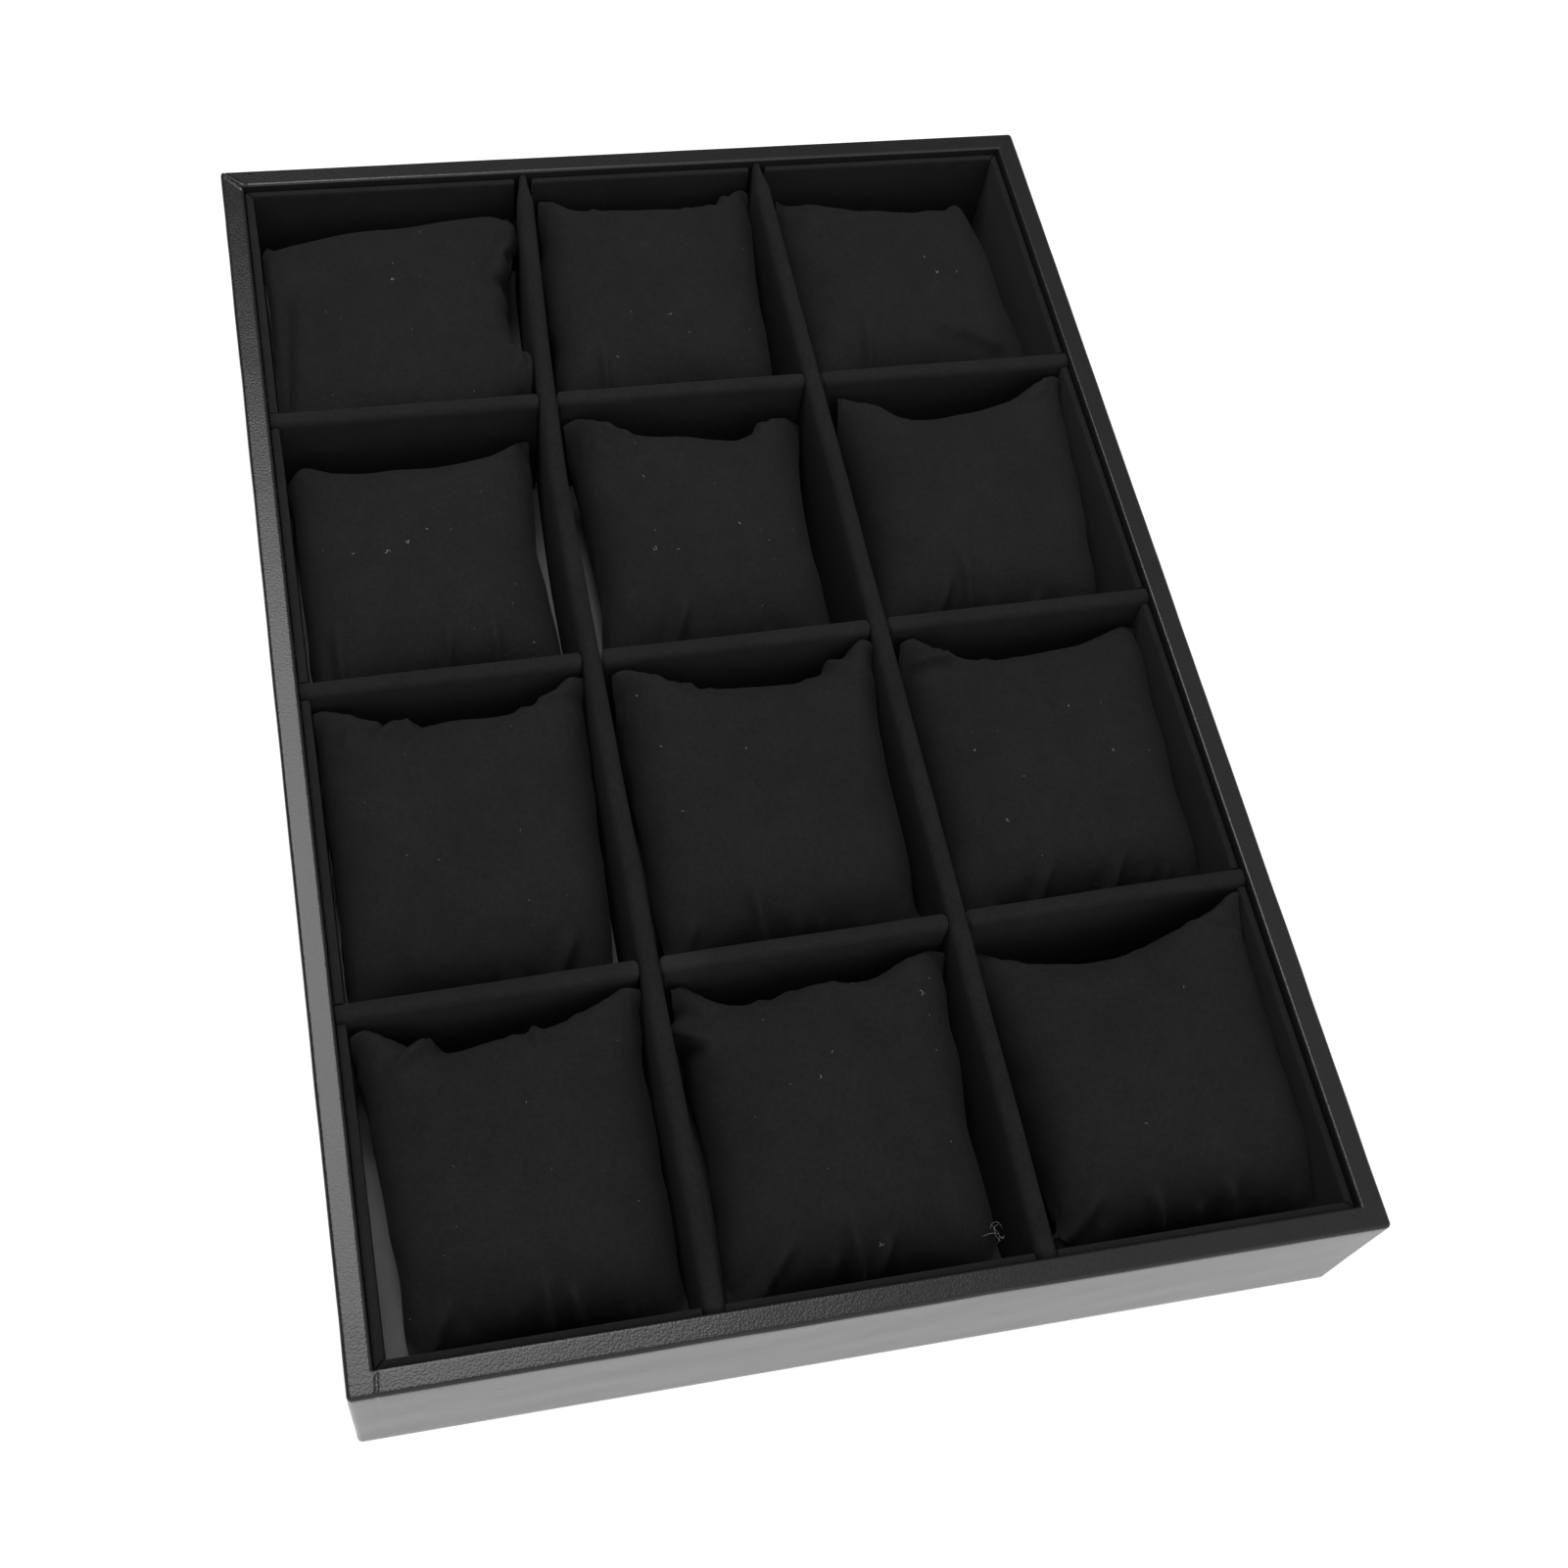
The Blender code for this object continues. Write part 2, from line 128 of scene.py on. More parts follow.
class PillowSettings(bpy.types.PropertyGroup):
    """Shape and colour of the pillows, and how their covers are inflated."""

    colour: FloatVectorProperty(
        name="Velvet Colour", description="Colour of the pillows",
        default=(0.0105, 0.0105, 0.0105), size=3, min=0.0, max=1.0, subtype="COLOR")
    sheen: FloatProperty(
        name="Velvet Sheen", description="Strength of the pillows' sheen",
        default=0.012, min=0.0, max=1.0)
    squareness: FloatProperty(
        name="Squareness", description="Power of the superellipse of a pillow's section",
        default=3.2, min=2.0, max=6.0)
    fold_passes: IntProperty(
        name="Fold Passes",
        description="Times the inflation's movement is blurred to tell its folds from its broad part",
        default=7, min=1)
    slack: FloatProperty(
        name="Cover Slack", description="How much longer the cover is than the filled form",
        default=0.055, min=0.0, max=0.3)
    pressure: FloatProperty(
        name="Pressure", description="Pressure in the cover while it is inflated",
        default=1.6, min=0.0)
    hold: FloatProperty(
        name="Filling Hold", description="How firmly the filling keeps the middle of a cover in its form",
        default=0.6, min=0.0, max=1.0)
    frames: IntProperty(
        name="Frames", description="Number of frames of the inflation",
        default=20, min=1)
    furthest_move: FloatProperty(
        name="Furthest Move", description="How far a point of the cover may move while it is inflated",
        default=0.0016, unit="LENGTH")
    crease_strength: FloatProperty(
        name="Crease Strength", description="How many times as deep as in their table the creases are",
        default=1.4, min=0.0)
    lint_colour: FloatVectorProperty(
        name="Lint Colour", description="Colour of the lint specks",
        default=(0.42, 0.42, 0.42), size=3, min=0.0, max=1.0, subtype="COLOR")


class StageSettings(bpy.types.PropertyGroup):
    """The light and the floor that the tray is shown on."""

    key_power: FloatProperty(
        name="Key Light", description="Power of the soft light above the back of the tray",
        default=9.8, unit="POWER")
    fill_strength: FloatProperty(
        name="Fill Light", description="Strength of the soft light from all round",
        default=0.60, min=0.0)
    fill_lean: FloatVectorProperty(
        name="Fill Lean",
        description="How much stronger the light from all round is towards +X, +Y and +Z",
        default=(0.20, -0.72, 0.0), size=3)
    floor_colour: FloatVectorProperty(
        name="Floor Colour", description="Colour of the floor",
        default=(0.25, 0.25, 0.25), size=3, min=0.0, max=1.0, subtype="COLOR")


# Meshes


def grid_faces(rows, columns, wrap_rows=False, wrap_columns=False):
    """The quads of a grid of points whose rows and columns may each join up with the first one."""
    ids = np.arange(rows * columns).reshape(rows, columns)
    if wrap_rows:
        ids = np.concatenate([ids, ids[:1]], 0)
    if wrap_columns:
        ids = np.concatenate([ids, ids[:, :1]], 1)
    return np.stack([ids[:-1, :-1], ids[1:, :-1], ids[1:, 1:], ids[:-1, 1:]], 2).reshape(-1, 4)


def end_caps(rows, columns):
    """The two faces that close a tube's first and last ring, on a grid with a ring in each row."""
    last = (rows - 1) * columns
    return [list(range(columns))[::-1], list(range(last, last + columns))]


def add_piece(name, points, faces, material, replaced=()):
    """Puts a mesh on the tray's body. Its faces are arrays of quads, or lists where some are not."""
    mesh = bpy.data.meshes.new(name)
    faces = faces.tolist() if isinstance(faces, np.ndarray) else faces
    mesh.from_pydata(np.asarray(points, float).reshape(-1, 3).tolist(), [], faces)
    mesh.validate()
    mesh.shade_smooth()
    mesh.materials.append(material)
    obj = bpy.data.objects.new(name, mesh)
    bpy.context.scene.collection.objects.link(obj)
    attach(obj, "root")
    if replaced:
        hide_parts(*replaced)
    return obj


def face_outward(obj):
    """Turns all faces of a closed mesh outward."""
    bm = bmesh.new()
    bm.from_mesh(obj.data)
    bmesh.ops.recalc_face_normals(bm, faces=bm.faces)
    bm.to_mesh(obj.data)
    bm.free()


def smooth_step(value, low, high):
    """0 below low, 1 above high, and an S curve between them."""
    share = np.clip((value - low) / (high - low), 0.0, 1.0)
    return share * share * (3 - 2 * share)


def ripples(points, length, seed, waves=14):
    """Smooth unevenness of about -1 to 1: a sum of plane waves in seeded directions.

    Each wave is 0.7 to 1.7 times the given length.
    """
    rng = np.random.default_rng(seed)
    total = np.zeros(points.shape[:-1])
    for _ in range(waves):
        direction = rng.normal(size=3)
        direction /= np.linalg.norm(direction)
        turns = 2 * math.pi / (length * rng.uniform(0.7, 1.7))
        total += np.sin(points @ direction * turns + rng.uniform(0, 2 * math.pi))
    return total / math.sqrt(waves)


def corner_arc(centre, radius, start, end, steps):
    """Points of an arc, between two angles in degrees."""
    angles = np.radians(np.linspace(start, end, steps + 1))
    return np.stack([centre[0] + radius * np.cos(angles), centre[1] + radius * np.sin(angles)], 1)


# Materials


class Nodes:
    """The nodes of a new material or world, added and joined in few words."""

    def __init__(self, owner):
        """Takes the material or the world, and finds the shader that a new material has."""
        owner.use_nodes = True
        self.owner = owner
        self.tree = owner.node_tree
        self.shader = self.tree.nodes.get("Principled BSDF")

    def add(self, kind, settings=None, **inputs):
        """A node, with settings on the node itself and values or links on its inputs."""
        node = self.tree.nodes.new(kind)
        for key, value in (settings or {}).items():
            setattr(node, key, value)
        for key, value in inputs.items():
            self.put(node, key.replace("_", " "), value)
        return node

    def put(self, node, key, value):
        """A value or a link on a node's input, which is named or numbered."""
        socket = node.inputs[int(key)] if key.isdigit() else node.inputs[key]
        if isinstance(value, bpy.types.NodeSocket):
            self.tree.links.new(value, socket)
        else:
            socket.default_value = value

    def place(self):
        """The place on the piece, in metres."""
        return self.add("ShaderNodeTexCoord").outputs["Object"]

    def noise(self, place, per_metre, detail=2.0, roughness=0.5):
        """A cloudy pattern, mostly 0.3 to 0.7, of about that many clouds in a metre."""
        settings = {"Scale": per_metre, "Detail": detail, "Roughness": roughness}
        return self.add("ShaderNodeTexNoise", Vector=place, **settings).outputs["Fac"]

    def spread(self, value, at_low, at_high, low=0.3, high=0.7):
        """Maps a value's range, by default that of a noise, onto another one."""
        node = self.add("ShaderNodeMapRange")
        sockets = ("Value", "From Min", "From Max", "To Min", "To Max")
        for key, number in zip(sockets, (value, low, high, at_low, at_high)):
            self.put(node, key, number)
        return node.outputs["Result"]

    def math(self, operation, first, second):
        """Two values put together by one of the Math node's operations."""
        node = self.add("ShaderNodeMath", {"operation": operation})
        self.put(node, "0", first)
        self.put(node, "1", second)
        return node.outputs[0]

    def product(self, first, *others):
        """Values multiplied, one after another."""
        for value in others:
            first = self.math("MULTIPLY", first, value)
        return first

    def tint(self, colour, shade):
        """The colour times a shade."""
        node = self.add("ShaderNodeVectorMath", {"operation": "SCALE"}, Scale=shade)
        self.put(node, "0", tuple(colour))
        return node.outputs[0]

    def bump(self, height, distance, strength=1.0, normal=None):
        """A surface direction that follows a height pattern, over another one if there is one."""
        node = self.add("ShaderNodeBump", Height=height, Distance=distance, Strength=strength)
        if normal is not None:
            self.put(node, "Normal", normal)
        return node.outputs["Normal"]

    def finish(self, colour, roughness, normal, **fixed):
        """Joins up the shader. What is the same all over is set on the shader's own sockets."""
        self.put(self.shader, "Base Color", colour)
        self.put(self.shader, "Roughness", roughness)
        self.put(self.shader, "Normal", normal)
        for key, value in fixed.items():
            self.put(self.shader, key.replace("_", " "), value)
        return self.owner


def leatherette_material(settings):
    """Pebble grain: rounded cells with pits between them, over a faint larger unevenness.

    A noise moves the cells' places, so that the pebbles are not alike, and worn patches are paler
    and less smooth.
    """
    n = Nodes(bpy.data.materials.new("leatherette"))
    place = n.place()
    cells_per_metre = 1.0 / settings.grain_size
    furthest_stray = settings.grain_size * 0.9
    noise = n.add("ShaderNodeTexNoise", Vector=place, Scale=cells_per_metre * 0.45, Detail=2.0)
    moved = n.add("ShaderNodeVectorMath", {"operation": "MULTIPLY_ADD"})
    n.put(moved, "0", noise.outputs["Color"])
    n.put(moved, "1", (furthest_stray,) * 3)
    n.put(moved, "2", place)
    cells = n.add("ShaderNodeTexVoronoi", {"feature": "F1"}, Vector=moved.outputs[0], Scale=cells_per_metre)
    pebble = n.spread(cells.outputs["Distance"], 1.0, 0.0, low=0.15, high=0.75)
    fine = n.noise(place, per_metre=cells_per_metre * 3.5, detail=3.0, roughness=0.6)
    swell = n.noise(place, per_metre=60.0)
    worn = n.noise(place, per_metre=160.0, detail=4.0, roughness=0.65)
    pebble_shade = n.spread(pebble, at_low=0.72, at_high=1.12, low=0.0, high=1.0)
    worn_shade = n.spread(worn, at_low=0.88, at_high=1.12)
    middle = settings.leatherette_roughness
    pebble_roughness = n.spread(pebble, at_low=0.10, at_high=-0.03, low=0.0, high=1.0)
    worn_roughness = n.spread(worn, at_low=middle - 0.04, at_high=middle + 0.05)
    grain = n.math("ADD", pebble, n.product(fine, 0.35))
    normal = n.bump(swell, distance=0.0006, strength=0.12)
    normal = n.bump(grain, distance=0.00005, strength=0.4, normal=normal)
    n.put(n.shader, "Coat Normal", normal)
    return n.finish(
        n.tint(settings.leatherette_colour, n.product(pebble_shade, worn_shade)),
        n.math("ADD", pebble_roughness, worn_roughness), normal,
        Specular_IOR_Level=0.1, Coat_Weight=1.0, Coat_IOR=1.365, Coat_Roughness=settings.coat_roughness)


# Width of a tuft of the velvet's pile
VELVET_PILE = 0.00022


def velvet_material(name, colour, sheen, seed, specular=0.12, painted_depth_shade=1.0, paler_place=None):
    """Short pile: a fine stipple, patches where the nap lies another way, and a soft sheen.

    The seed moves the patterns. On dividers and linings a painted shade by height goes from 1 just
    under the top edge to the given depth shade 10 mm below it: under 1 it is painted shade deep down
    between the parts, over 1 painted light on the lower faces. A patch round a given place is paler.
    """
    n = Nodes(bpy.data.materials.new(name))
    moved = n.add("ShaderNodeMapping", Vector=n.place(), Location=(seed, seed * 0.7, 0.0))
    place = moved.outputs[0]
    stipple = n.noise(place, per_metre=1.0 / VELVET_PILE, roughness=0.6)
    fleck = n.noise(place, per_metre=900.0, detail=3.0, roughness=0.7)
    nap = n.noise(place, per_metre=45.0, detail=3.0, roughness=0.55)
    brushed = n.noise(place, per_metre=170.0, roughness=0.6)
    shade = n.product(
        n.spread(stipple, at_low=0.78, at_high=1.22), n.spread(nap, at_low=0.91, at_high=1.09),
        n.spread(fleck, at_low=0.84, at_high=1.24, high=0.72), n.spread(brushed, at_low=0.93, at_high=1.07))
    # Painted shade by height: deeper down, the colour is scaled towards the depth shade, darker where shade
    # falls between the parts, or paler as painted light
    if painted_depth_shade != 1:
        height = n.add("ShaderNodeSeparateXYZ", Vector=n.place()).outputs["Z"]
        root = n.spread(height, painted_depth_shade**0.5, 1.0, low=DIVIDER_TOP - 0.010, high=DIVIDER_TOP - 0.001)
        shade = n.product(shade, n.product(root, root))
    # A patch round the given place is made paler, up to 1.5 times at its middle
    if paler_place is not None:
        gap = n.add("ShaderNodeVectorMath", {"operation": "DISTANCE"})
        n.put(gap, "0", n.place())
        n.put(gap, "1", paler_place)
        shade = n.product(shade, n.spread(gap.outputs["Value"], 1.5, 1.0, low=0.004, high=0.013))
    normal = n.bump(n.math("ADD", nap, n.product(brushed, 0.35)), distance=0.0007, strength=0.35)
    normal = n.bump(n.math("ADD", stipple, fleck), distance=0.00008, strength=0.6, normal=normal)
    return n.finish(
        n.tint(colour, shade), 0.95, normal,
        Specular_IOR_Level=specular, Sheen_Weight=sheen, Sheen_Roughness=0.45)


def floor_sheet_material(settings):
    """Smooth satin sheet with a faint weave, and painted light that makes it paler towards the back of the
    tray.
    """
    n = Nodes(bpy.data.materials.new("floor_sheet"))
    place = n.place()
    weave = n.noise(place, per_metre=2600.0)
    cloud = n.noise(place, per_metre=70.0, detail=3.0)
    to_back = n.add("ShaderNodeSeparateXYZ", Vector=place).outputs["Y"]
    # The cloud is the sheet's own uneven tone; the step along Y is painted light, from 0.6 times at the front
    # to 3.8 times at the back
    shade = n.product(
        n.spread(cloud, at_low=0.88, at_high=1.12),
        n.spread(to_back, at_low=0.6, at_high=3.8, low=-0.17, high=0.10))
    normal = n.bump(n.math("ADD", n.product(weave, 0.15), cloud), distance=0.0003, strength=0.3)
    return n.finish(
        n.tint(settings.floor_colour, shade), n.spread(weave, at_low=0.27, at_high=0.35), normal,
        Specular_IOR_Level=0.30)


def base_board_material():
    """Black paper over board: fibres, and scuffs where it has slid on tables."""
    n = Nodes(bpy.data.materials.new("base_board"))
    place = n.place()
    paper = (0.022, 0.022, 0.022)
    fibres = n.noise(place, per_metre=1500.0, detail=4.0, roughness=0.7)
    cloud = n.noise(place, per_metre=30.0, detail=3.0)
    scuffs = n.noise(place, per_metre=220.0, detail=5.0, roughness=0.7)
    shade = n.product(
        n.spread(fibres, at_low=0.85, at_high=1.15),
        n.spread(scuffs, at_low=1.0, at_high=1.7, low=0.58, high=0.72),
        n.spread(cloud, at_low=0.9, at_high=1.1))
    return n.finish(n.tint(paper, shade), 0.78, n.bump(fibres, distance=0.00008, strength=0.5))


def lint_material(settings):
    """Pale fibre, a little uneven."""
    n = Nodes(bpy.data.materials.new("lint"))
    place = n.place()
    shade = n.spread(n.noise(place, per_metre=700.0), at_low=0.7, at_high=1.1)
    normal = n.bump(n.noise(place, per_metre=3000.0), distance=0.00003, strength=0.5)
    return n.finish(n.tint(settings.lint_colour, shade), 0.8, normal)


# Walls

# The length at a wall's ends that holds the covering's folds, and the longest step along walls
# and dividers
FOLD_LENGTH = 0.012
LONG_STEP = 0.0022


def wall_stations(half_run, corner_radius):
    """Places along one wall from -1 to 1: close together near the corners, where the folds are."""
    run = half_run - corner_radius
    near = run - np.linspace(0.0, FOLD_LENGTH, 31)
    count = 2 * int((run - FOLD_LENGTH) / LONG_STEP) + 1
    far = np.linspace(-(run - FOLD_LENGTH), run - FOLD_LENGTH, count)[1:-1]
    return np.concatenate([-near, far, near[::-1]]) / run


def wall_path(corner_radius):
    """Stations round the tray as (u, v, nx, ny).

    A point at a depth from the outer face lies at (u * a + nx * r, v * b + ny * r), where a and b
    are the half sizes at that depth less the corner radius r there.
    """
    rows = []
    corner_steps = 6
    # Front, right, back and left: the axis along the wall, the side that it is on, the way along it
    sides = (
        (0, -1, 1, TRAY_HALF_WIDTH), (1, 1, 1, TRAY_HALF_LENGTH),
        (0, 1, -1, TRAY_HALF_WIDTH), (1, -1, -1, TRAY_HALF_LENGTH))
    for k, (axis, outward, way, half_run) in enumerate(sides):
        t = wall_stations(half_run, corner_radius) * way
        fixed = np.full_like(t, outward)
        zero = np.zeros_like(t)
        rows.append(np.stack([t, fixed, zero, fixed] if axis == 0 else [fixed, t, fixed, zero], 1))
        angles = np.radians(np.linspace(-90 + 90 * k, 90 * k, corner_steps + 1)[1:-1])
        u = np.full_like(angles, 1 if k in (0, 1) else -1)
        v = np.full_like(angles, -1 if k in (0, 3) else 1)
        rows.append(np.stack([u, v, np.cos(angles), np.sin(angles)], 1))
    return np.concatenate(rows)


def wall_profile(rim_radius):
    """A wall's section as (depth, height), round from the inner foot over the rim to the outer foot."""
    foot_radius = 0.0006
    inner_radius = 0.0007
    inner_steps, rim_steps, outer_steps = 14, 14, 22
    top = TRAY_HEIGHT
    thick = WALL_THICKNESS
    inner_heights = np.linspace(0.0, top - inner_radius, inner_steps + 1)[:-1]
    rim_depths = np.linspace(thick - inner_radius, rim_radius, rim_steps + 1)[:-1]
    outer_heights = np.linspace(top - rim_radius, foot_radius, outer_steps + 1)[:-1]
    parts = [
        np.stack([np.full(inner_steps, thick), inner_heights], 1),
        corner_arc((thick - inner_radius, top - inner_radius), inner_radius, 0, 90, 5)[:-1],
        np.stack([rim_depths, np.full(rim_steps, top)], 1),
        corner_arc((rim_radius, top - rim_radius), rim_radius, 90, 180, 6)[:-1],
        np.stack([np.zeros(outer_steps), outer_heights], 1),
        corner_arc((foot_radius, foot_radius), foot_radius, 180, 270, 3),
    ]
    return np.concatenate(parts)


def pleat_height(x, y):
    """The covering's narrow pleat on the rim's back left corner.

    It is raised between two lines that start beside the corner and part inward, with a lip on
    each, and fades before the inner edge.
    """
    half_at_corner, parting, aside = 0.00025, 0.085, 0.0002
    lip_width, pleat_rise, lip_rise = 0.00022, 0.00012, 0.00016
    fade_start, fade_end = 0.0084, 0.0105
    along = ((x + TRAY_HALF_WIDTH) + (TRAY_HALF_LENGTH - y)) / math.sqrt(2)
    across = ((x + TRAY_HALF_WIDTH) - (TRAY_HALF_LENGTH - y)) / math.sqrt(2)
    half = half_at_corner + parting * np.clip(along, 0, None)
    gap = np.abs(across + aside)
    inside = 1 - smooth_step(gap, half * 0.75, half * 1.25)
    lips = np.exp(-(((gap - half) / lip_width) ** 2))
    near = 1 - smooth_step(along, fade_start, fade_end)
    return near * (pleat_rise * inside + lip_rise * lips)


def seam_depth(x, y):
    """The groove at the front left corner, where the front wall's covering ends on the left wall's."""
    depth, half_width = 0.00022, 0.00028
    fade_start, fade_end = 0.0058, 0.0066
    place = -TRAY_HALF_WIDTH + WALL_THICKNESS + 0.0004
    stray = 0.00018 * np.sin(y / 0.0011) + 0.00012 * np.sin(y / 0.0004)
    near = 1 - smooth_step(y + TRAY_HALF_LENGTH, fade_start, fade_end)
    return near * depth * np.exp(-(((x - place - stray) / half_width) ** 2))


# Dents on the rim: how far each lies from the outer front right corner, to the left and to the
# back, and its radius
DENTS = (
    (0.0079, 0.0042, 0.00045), (0.0070, 0.0051, 0.0003),
    (0.0092, 0.0047, 0.00035), (0.0062, 0.0036, 0.0003),
)
DENT_DEPTH = 0.00014


def dent_depth(x, y):
    """A few small round dents on the rim near the front right corner."""
    total = np.zeros_like(x)
    for to_left, to_back, radius in DENTS:
        square = (x - TRAY_HALF_WIDTH + to_left) ** 2 + (y + TRAY_HALF_LENGTH - to_back) ** 2
        total += DENT_DEPTH * np.exp(-square / radius**2)
    return total


def add_walls(settings):
    """The covered walls: a closed section carried round the tray, with the covering's folds on it."""
    least_radius = 0.00015
    outer_skin = 0.0005
    path = wall_path(settings.corner_radius)
    depth, height = wall_profile(settings.rim_radius).T
    radius = np.maximum(settings.corner_radius - depth, least_radius)
    x = path[:, None, 0] * (TRAY_HALF_WIDTH - depth - radius) + path[:, None, 2] * radius
    y = path[:, None, 1] * (TRAY_HALF_LENGTH - depth - radius) + path[:, None, 3] * radius
    z = np.broadcast_to(height, x.shape).copy()
    points = np.stack([x, y, z], 2)
    outward = np.stack([path[:, 2], path[:, 3], np.zeros(len(path))], 1)[:, None, :]
    on_top = smooth_step(z, TRAY_HEIGHT - 0.0012, TRAY_HEIGHT - 0.0001)
    on_side = (depth < outer_skin)[None, :] * smooth_step(z, 0.0, 0.004)
    ripple = ripples(points, 0.030, 5) + 0.5 * ripples(points, 0.011, 6)
    points = points - outward * (settings.wrap_ripple * (ripple + 1.3) * on_side)[:, :, None]
    unevenness = 0.4 * settings.wrap_ripple * (ripple - 1.0)
    points[:, :, 2] += on_top * (pleat_height(x, y) - seam_depth(x, y) - dent_depth(x, y) + unevenness)
    points -= outward * (seam_depth(x, y) * on_side)[:, :, None]
    faces = grid_faces(len(path), len(depth), True, True)
    walls = add_piece("wrapped_walls", points, faces, leatherette_material(settings), WALLS)
    face_outward(walls)


# Linings and dividers


def centre_line(node):
    """The middle of a divider's top edge in the frame's solid, as points along it.

    A long divider gives a point at each place where its top edge has corners, and a cross divider
    one at each end.
    """
    level, end_reach = 0.00002, 0.0006
    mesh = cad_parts[node].data
    co = np.zeros(len(mesh.vertices) * 3, np.float32)
    mesh.vertices.foreach_get("co", co)
    co = co.reshape(-1, 3).astype(float)
    top = co[co[:, 2] > DIVIDER_TOP - level]
    if node in LONG_DIVIDERS:
        places = np.unique(top[:, 1].round(5))
        middles = [top[abs(top[:, 1] - p) < level, 0] for p in places]
        return np.array([((m.min() + m.max()) / 2, p) for m, p in zip(middles, places)])
    low = top[top[:, 0] < top[:, 0].min() + end_reach]
    high = top[top[:, 0] > top[:, 0].max() - end_reach]
    return np.array([(part[:, 0].mean(), (part[:, 1].min() + part[:, 1].max()) / 2) for part in (low, high)])


LONG_LINES = [centre_line(node) for node in LONG_DIVIDERS]
CROSS_LINES = {(r, c): centre_line("cross_divider_r%d_c%d" % (r, c)) for r in ROWS[:-1] for c in COLUMNS}


def long_line_at(line, y):
    """The x of a long divider's middle line at y, straight between the line's points."""
    return np.interp(y, line[:, 1], line[:, 0])


def cross_line_at(line, x):
    """The y of a cross divider's middle line, which is straight, at x."""
    (x0, y0), (x1, y1) = line
    return y0 + (y1 - y0) * (x - x0) / (x1 - x0)


def compartment_sides(row, column, x, y):
    """The left, right, front and back faces of a compartment at a place in it."""
    half = DIVIDER_THICKNESS / 2
    left, right, front, back = INSIDE_LEFT, INSIDE_RIGHT, INSIDE_FRONT, INSIDE_BACK
    if column != COLUMNS[0]:
        left = long_line_at(LONG_LINES[column - 2], y) + half
    if column != COLUMNS[-1]:
        right = long_line_at(LONG_LINES[column - 1], y) - half
    if row != ROWS[0]:
        front = cross_line_at(CROSS_LINES[row - 1, column], x) + half
    if row != ROWS[-1]:
        back = cross_line_at(CROSS_LINES[row, column], x) - half
    return left, right, front, back


def divider_section():
    """A divider's section as (across, height), from one foot over the rounded top to the other."""
    half = DIVIDER_THICKNESS / 2
    radius = 0.0020
    side_steps = 16
    shoulder = DIVIDER_TOP - radius
    fall = np.linspace(0.0, 1.0, side_steps + 1)[:-1] * (shoulder - INSIDE_BOTTOM)
    parts = [
        np.stack([np.full(side_steps, half), INSIDE_BOTTOM + fall], 1),
        corner_arc((half - radius, shoulder), radius, 0, 90, 7),
        corner_arc((radius - half, shoulder), radius, 90, 180, 7)[:-1],
        np.stack([np.full(side_steps, -half), shoulder - fall], 1),
        np.array([[-half, INSIDE_BOTTOM]]),
    ]
    return np.concatenate(parts)


# The length over which a divider's free end is rounded, and how far below the top edge the tongue
# that passes a lining reaches
NOSE = 0.0010
TONGUE_DEPTH = 0.017


def divider_places(node, line):
    """Places along a divider, the two stops of its full height, and which of its ends have tongues.

    The places lie close together near both stops, where the ends are rounded, by a cosine.
    """
    furthest_tongue, clearance, just_past = 0.004, 0.0002, 0.00001
    low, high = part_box(node)
    if node in LONG_DIVIDERS:
        start, end, inner = low.y, high.y, (INSIDE_FRONT, INSIDE_BACK)
    else:
        start, end, inner = low.x, high.x, (INSIDE_LEFT, INSIDE_RIGHT)
    tongues = [0 < inner[0] - start < furthest_tongue, 0 < end - inner[1] < furthest_tongue]
    if node not in LONG_DIVIDERS:
        start, end = line[0, 0], line[1, 0]
    stops = [inner[0] + clearance if tongues[0] else start, inner[1] - clearance if tongues[1] else end]
    count = int((stops[1] - stops[0]) / LONG_STEP) + 1
    ease = NOSE * (1 - np.cos(np.linspace(0, math.pi / 2, 7)))
    between = np.linspace(stops[0] + NOSE, stops[1] - NOSE, count)[1:-1]
    places = np.concatenate([stops[0] + ease, between, stops[1] - ease[::-1]])
    if tongues[0]:
        places = np.concatenate([[start, stops[0] - just_past], places])
    if tongues[1]:
        places = np.concatenate([places, [stops[1] + just_past, end]])
    return places, stops, tongues


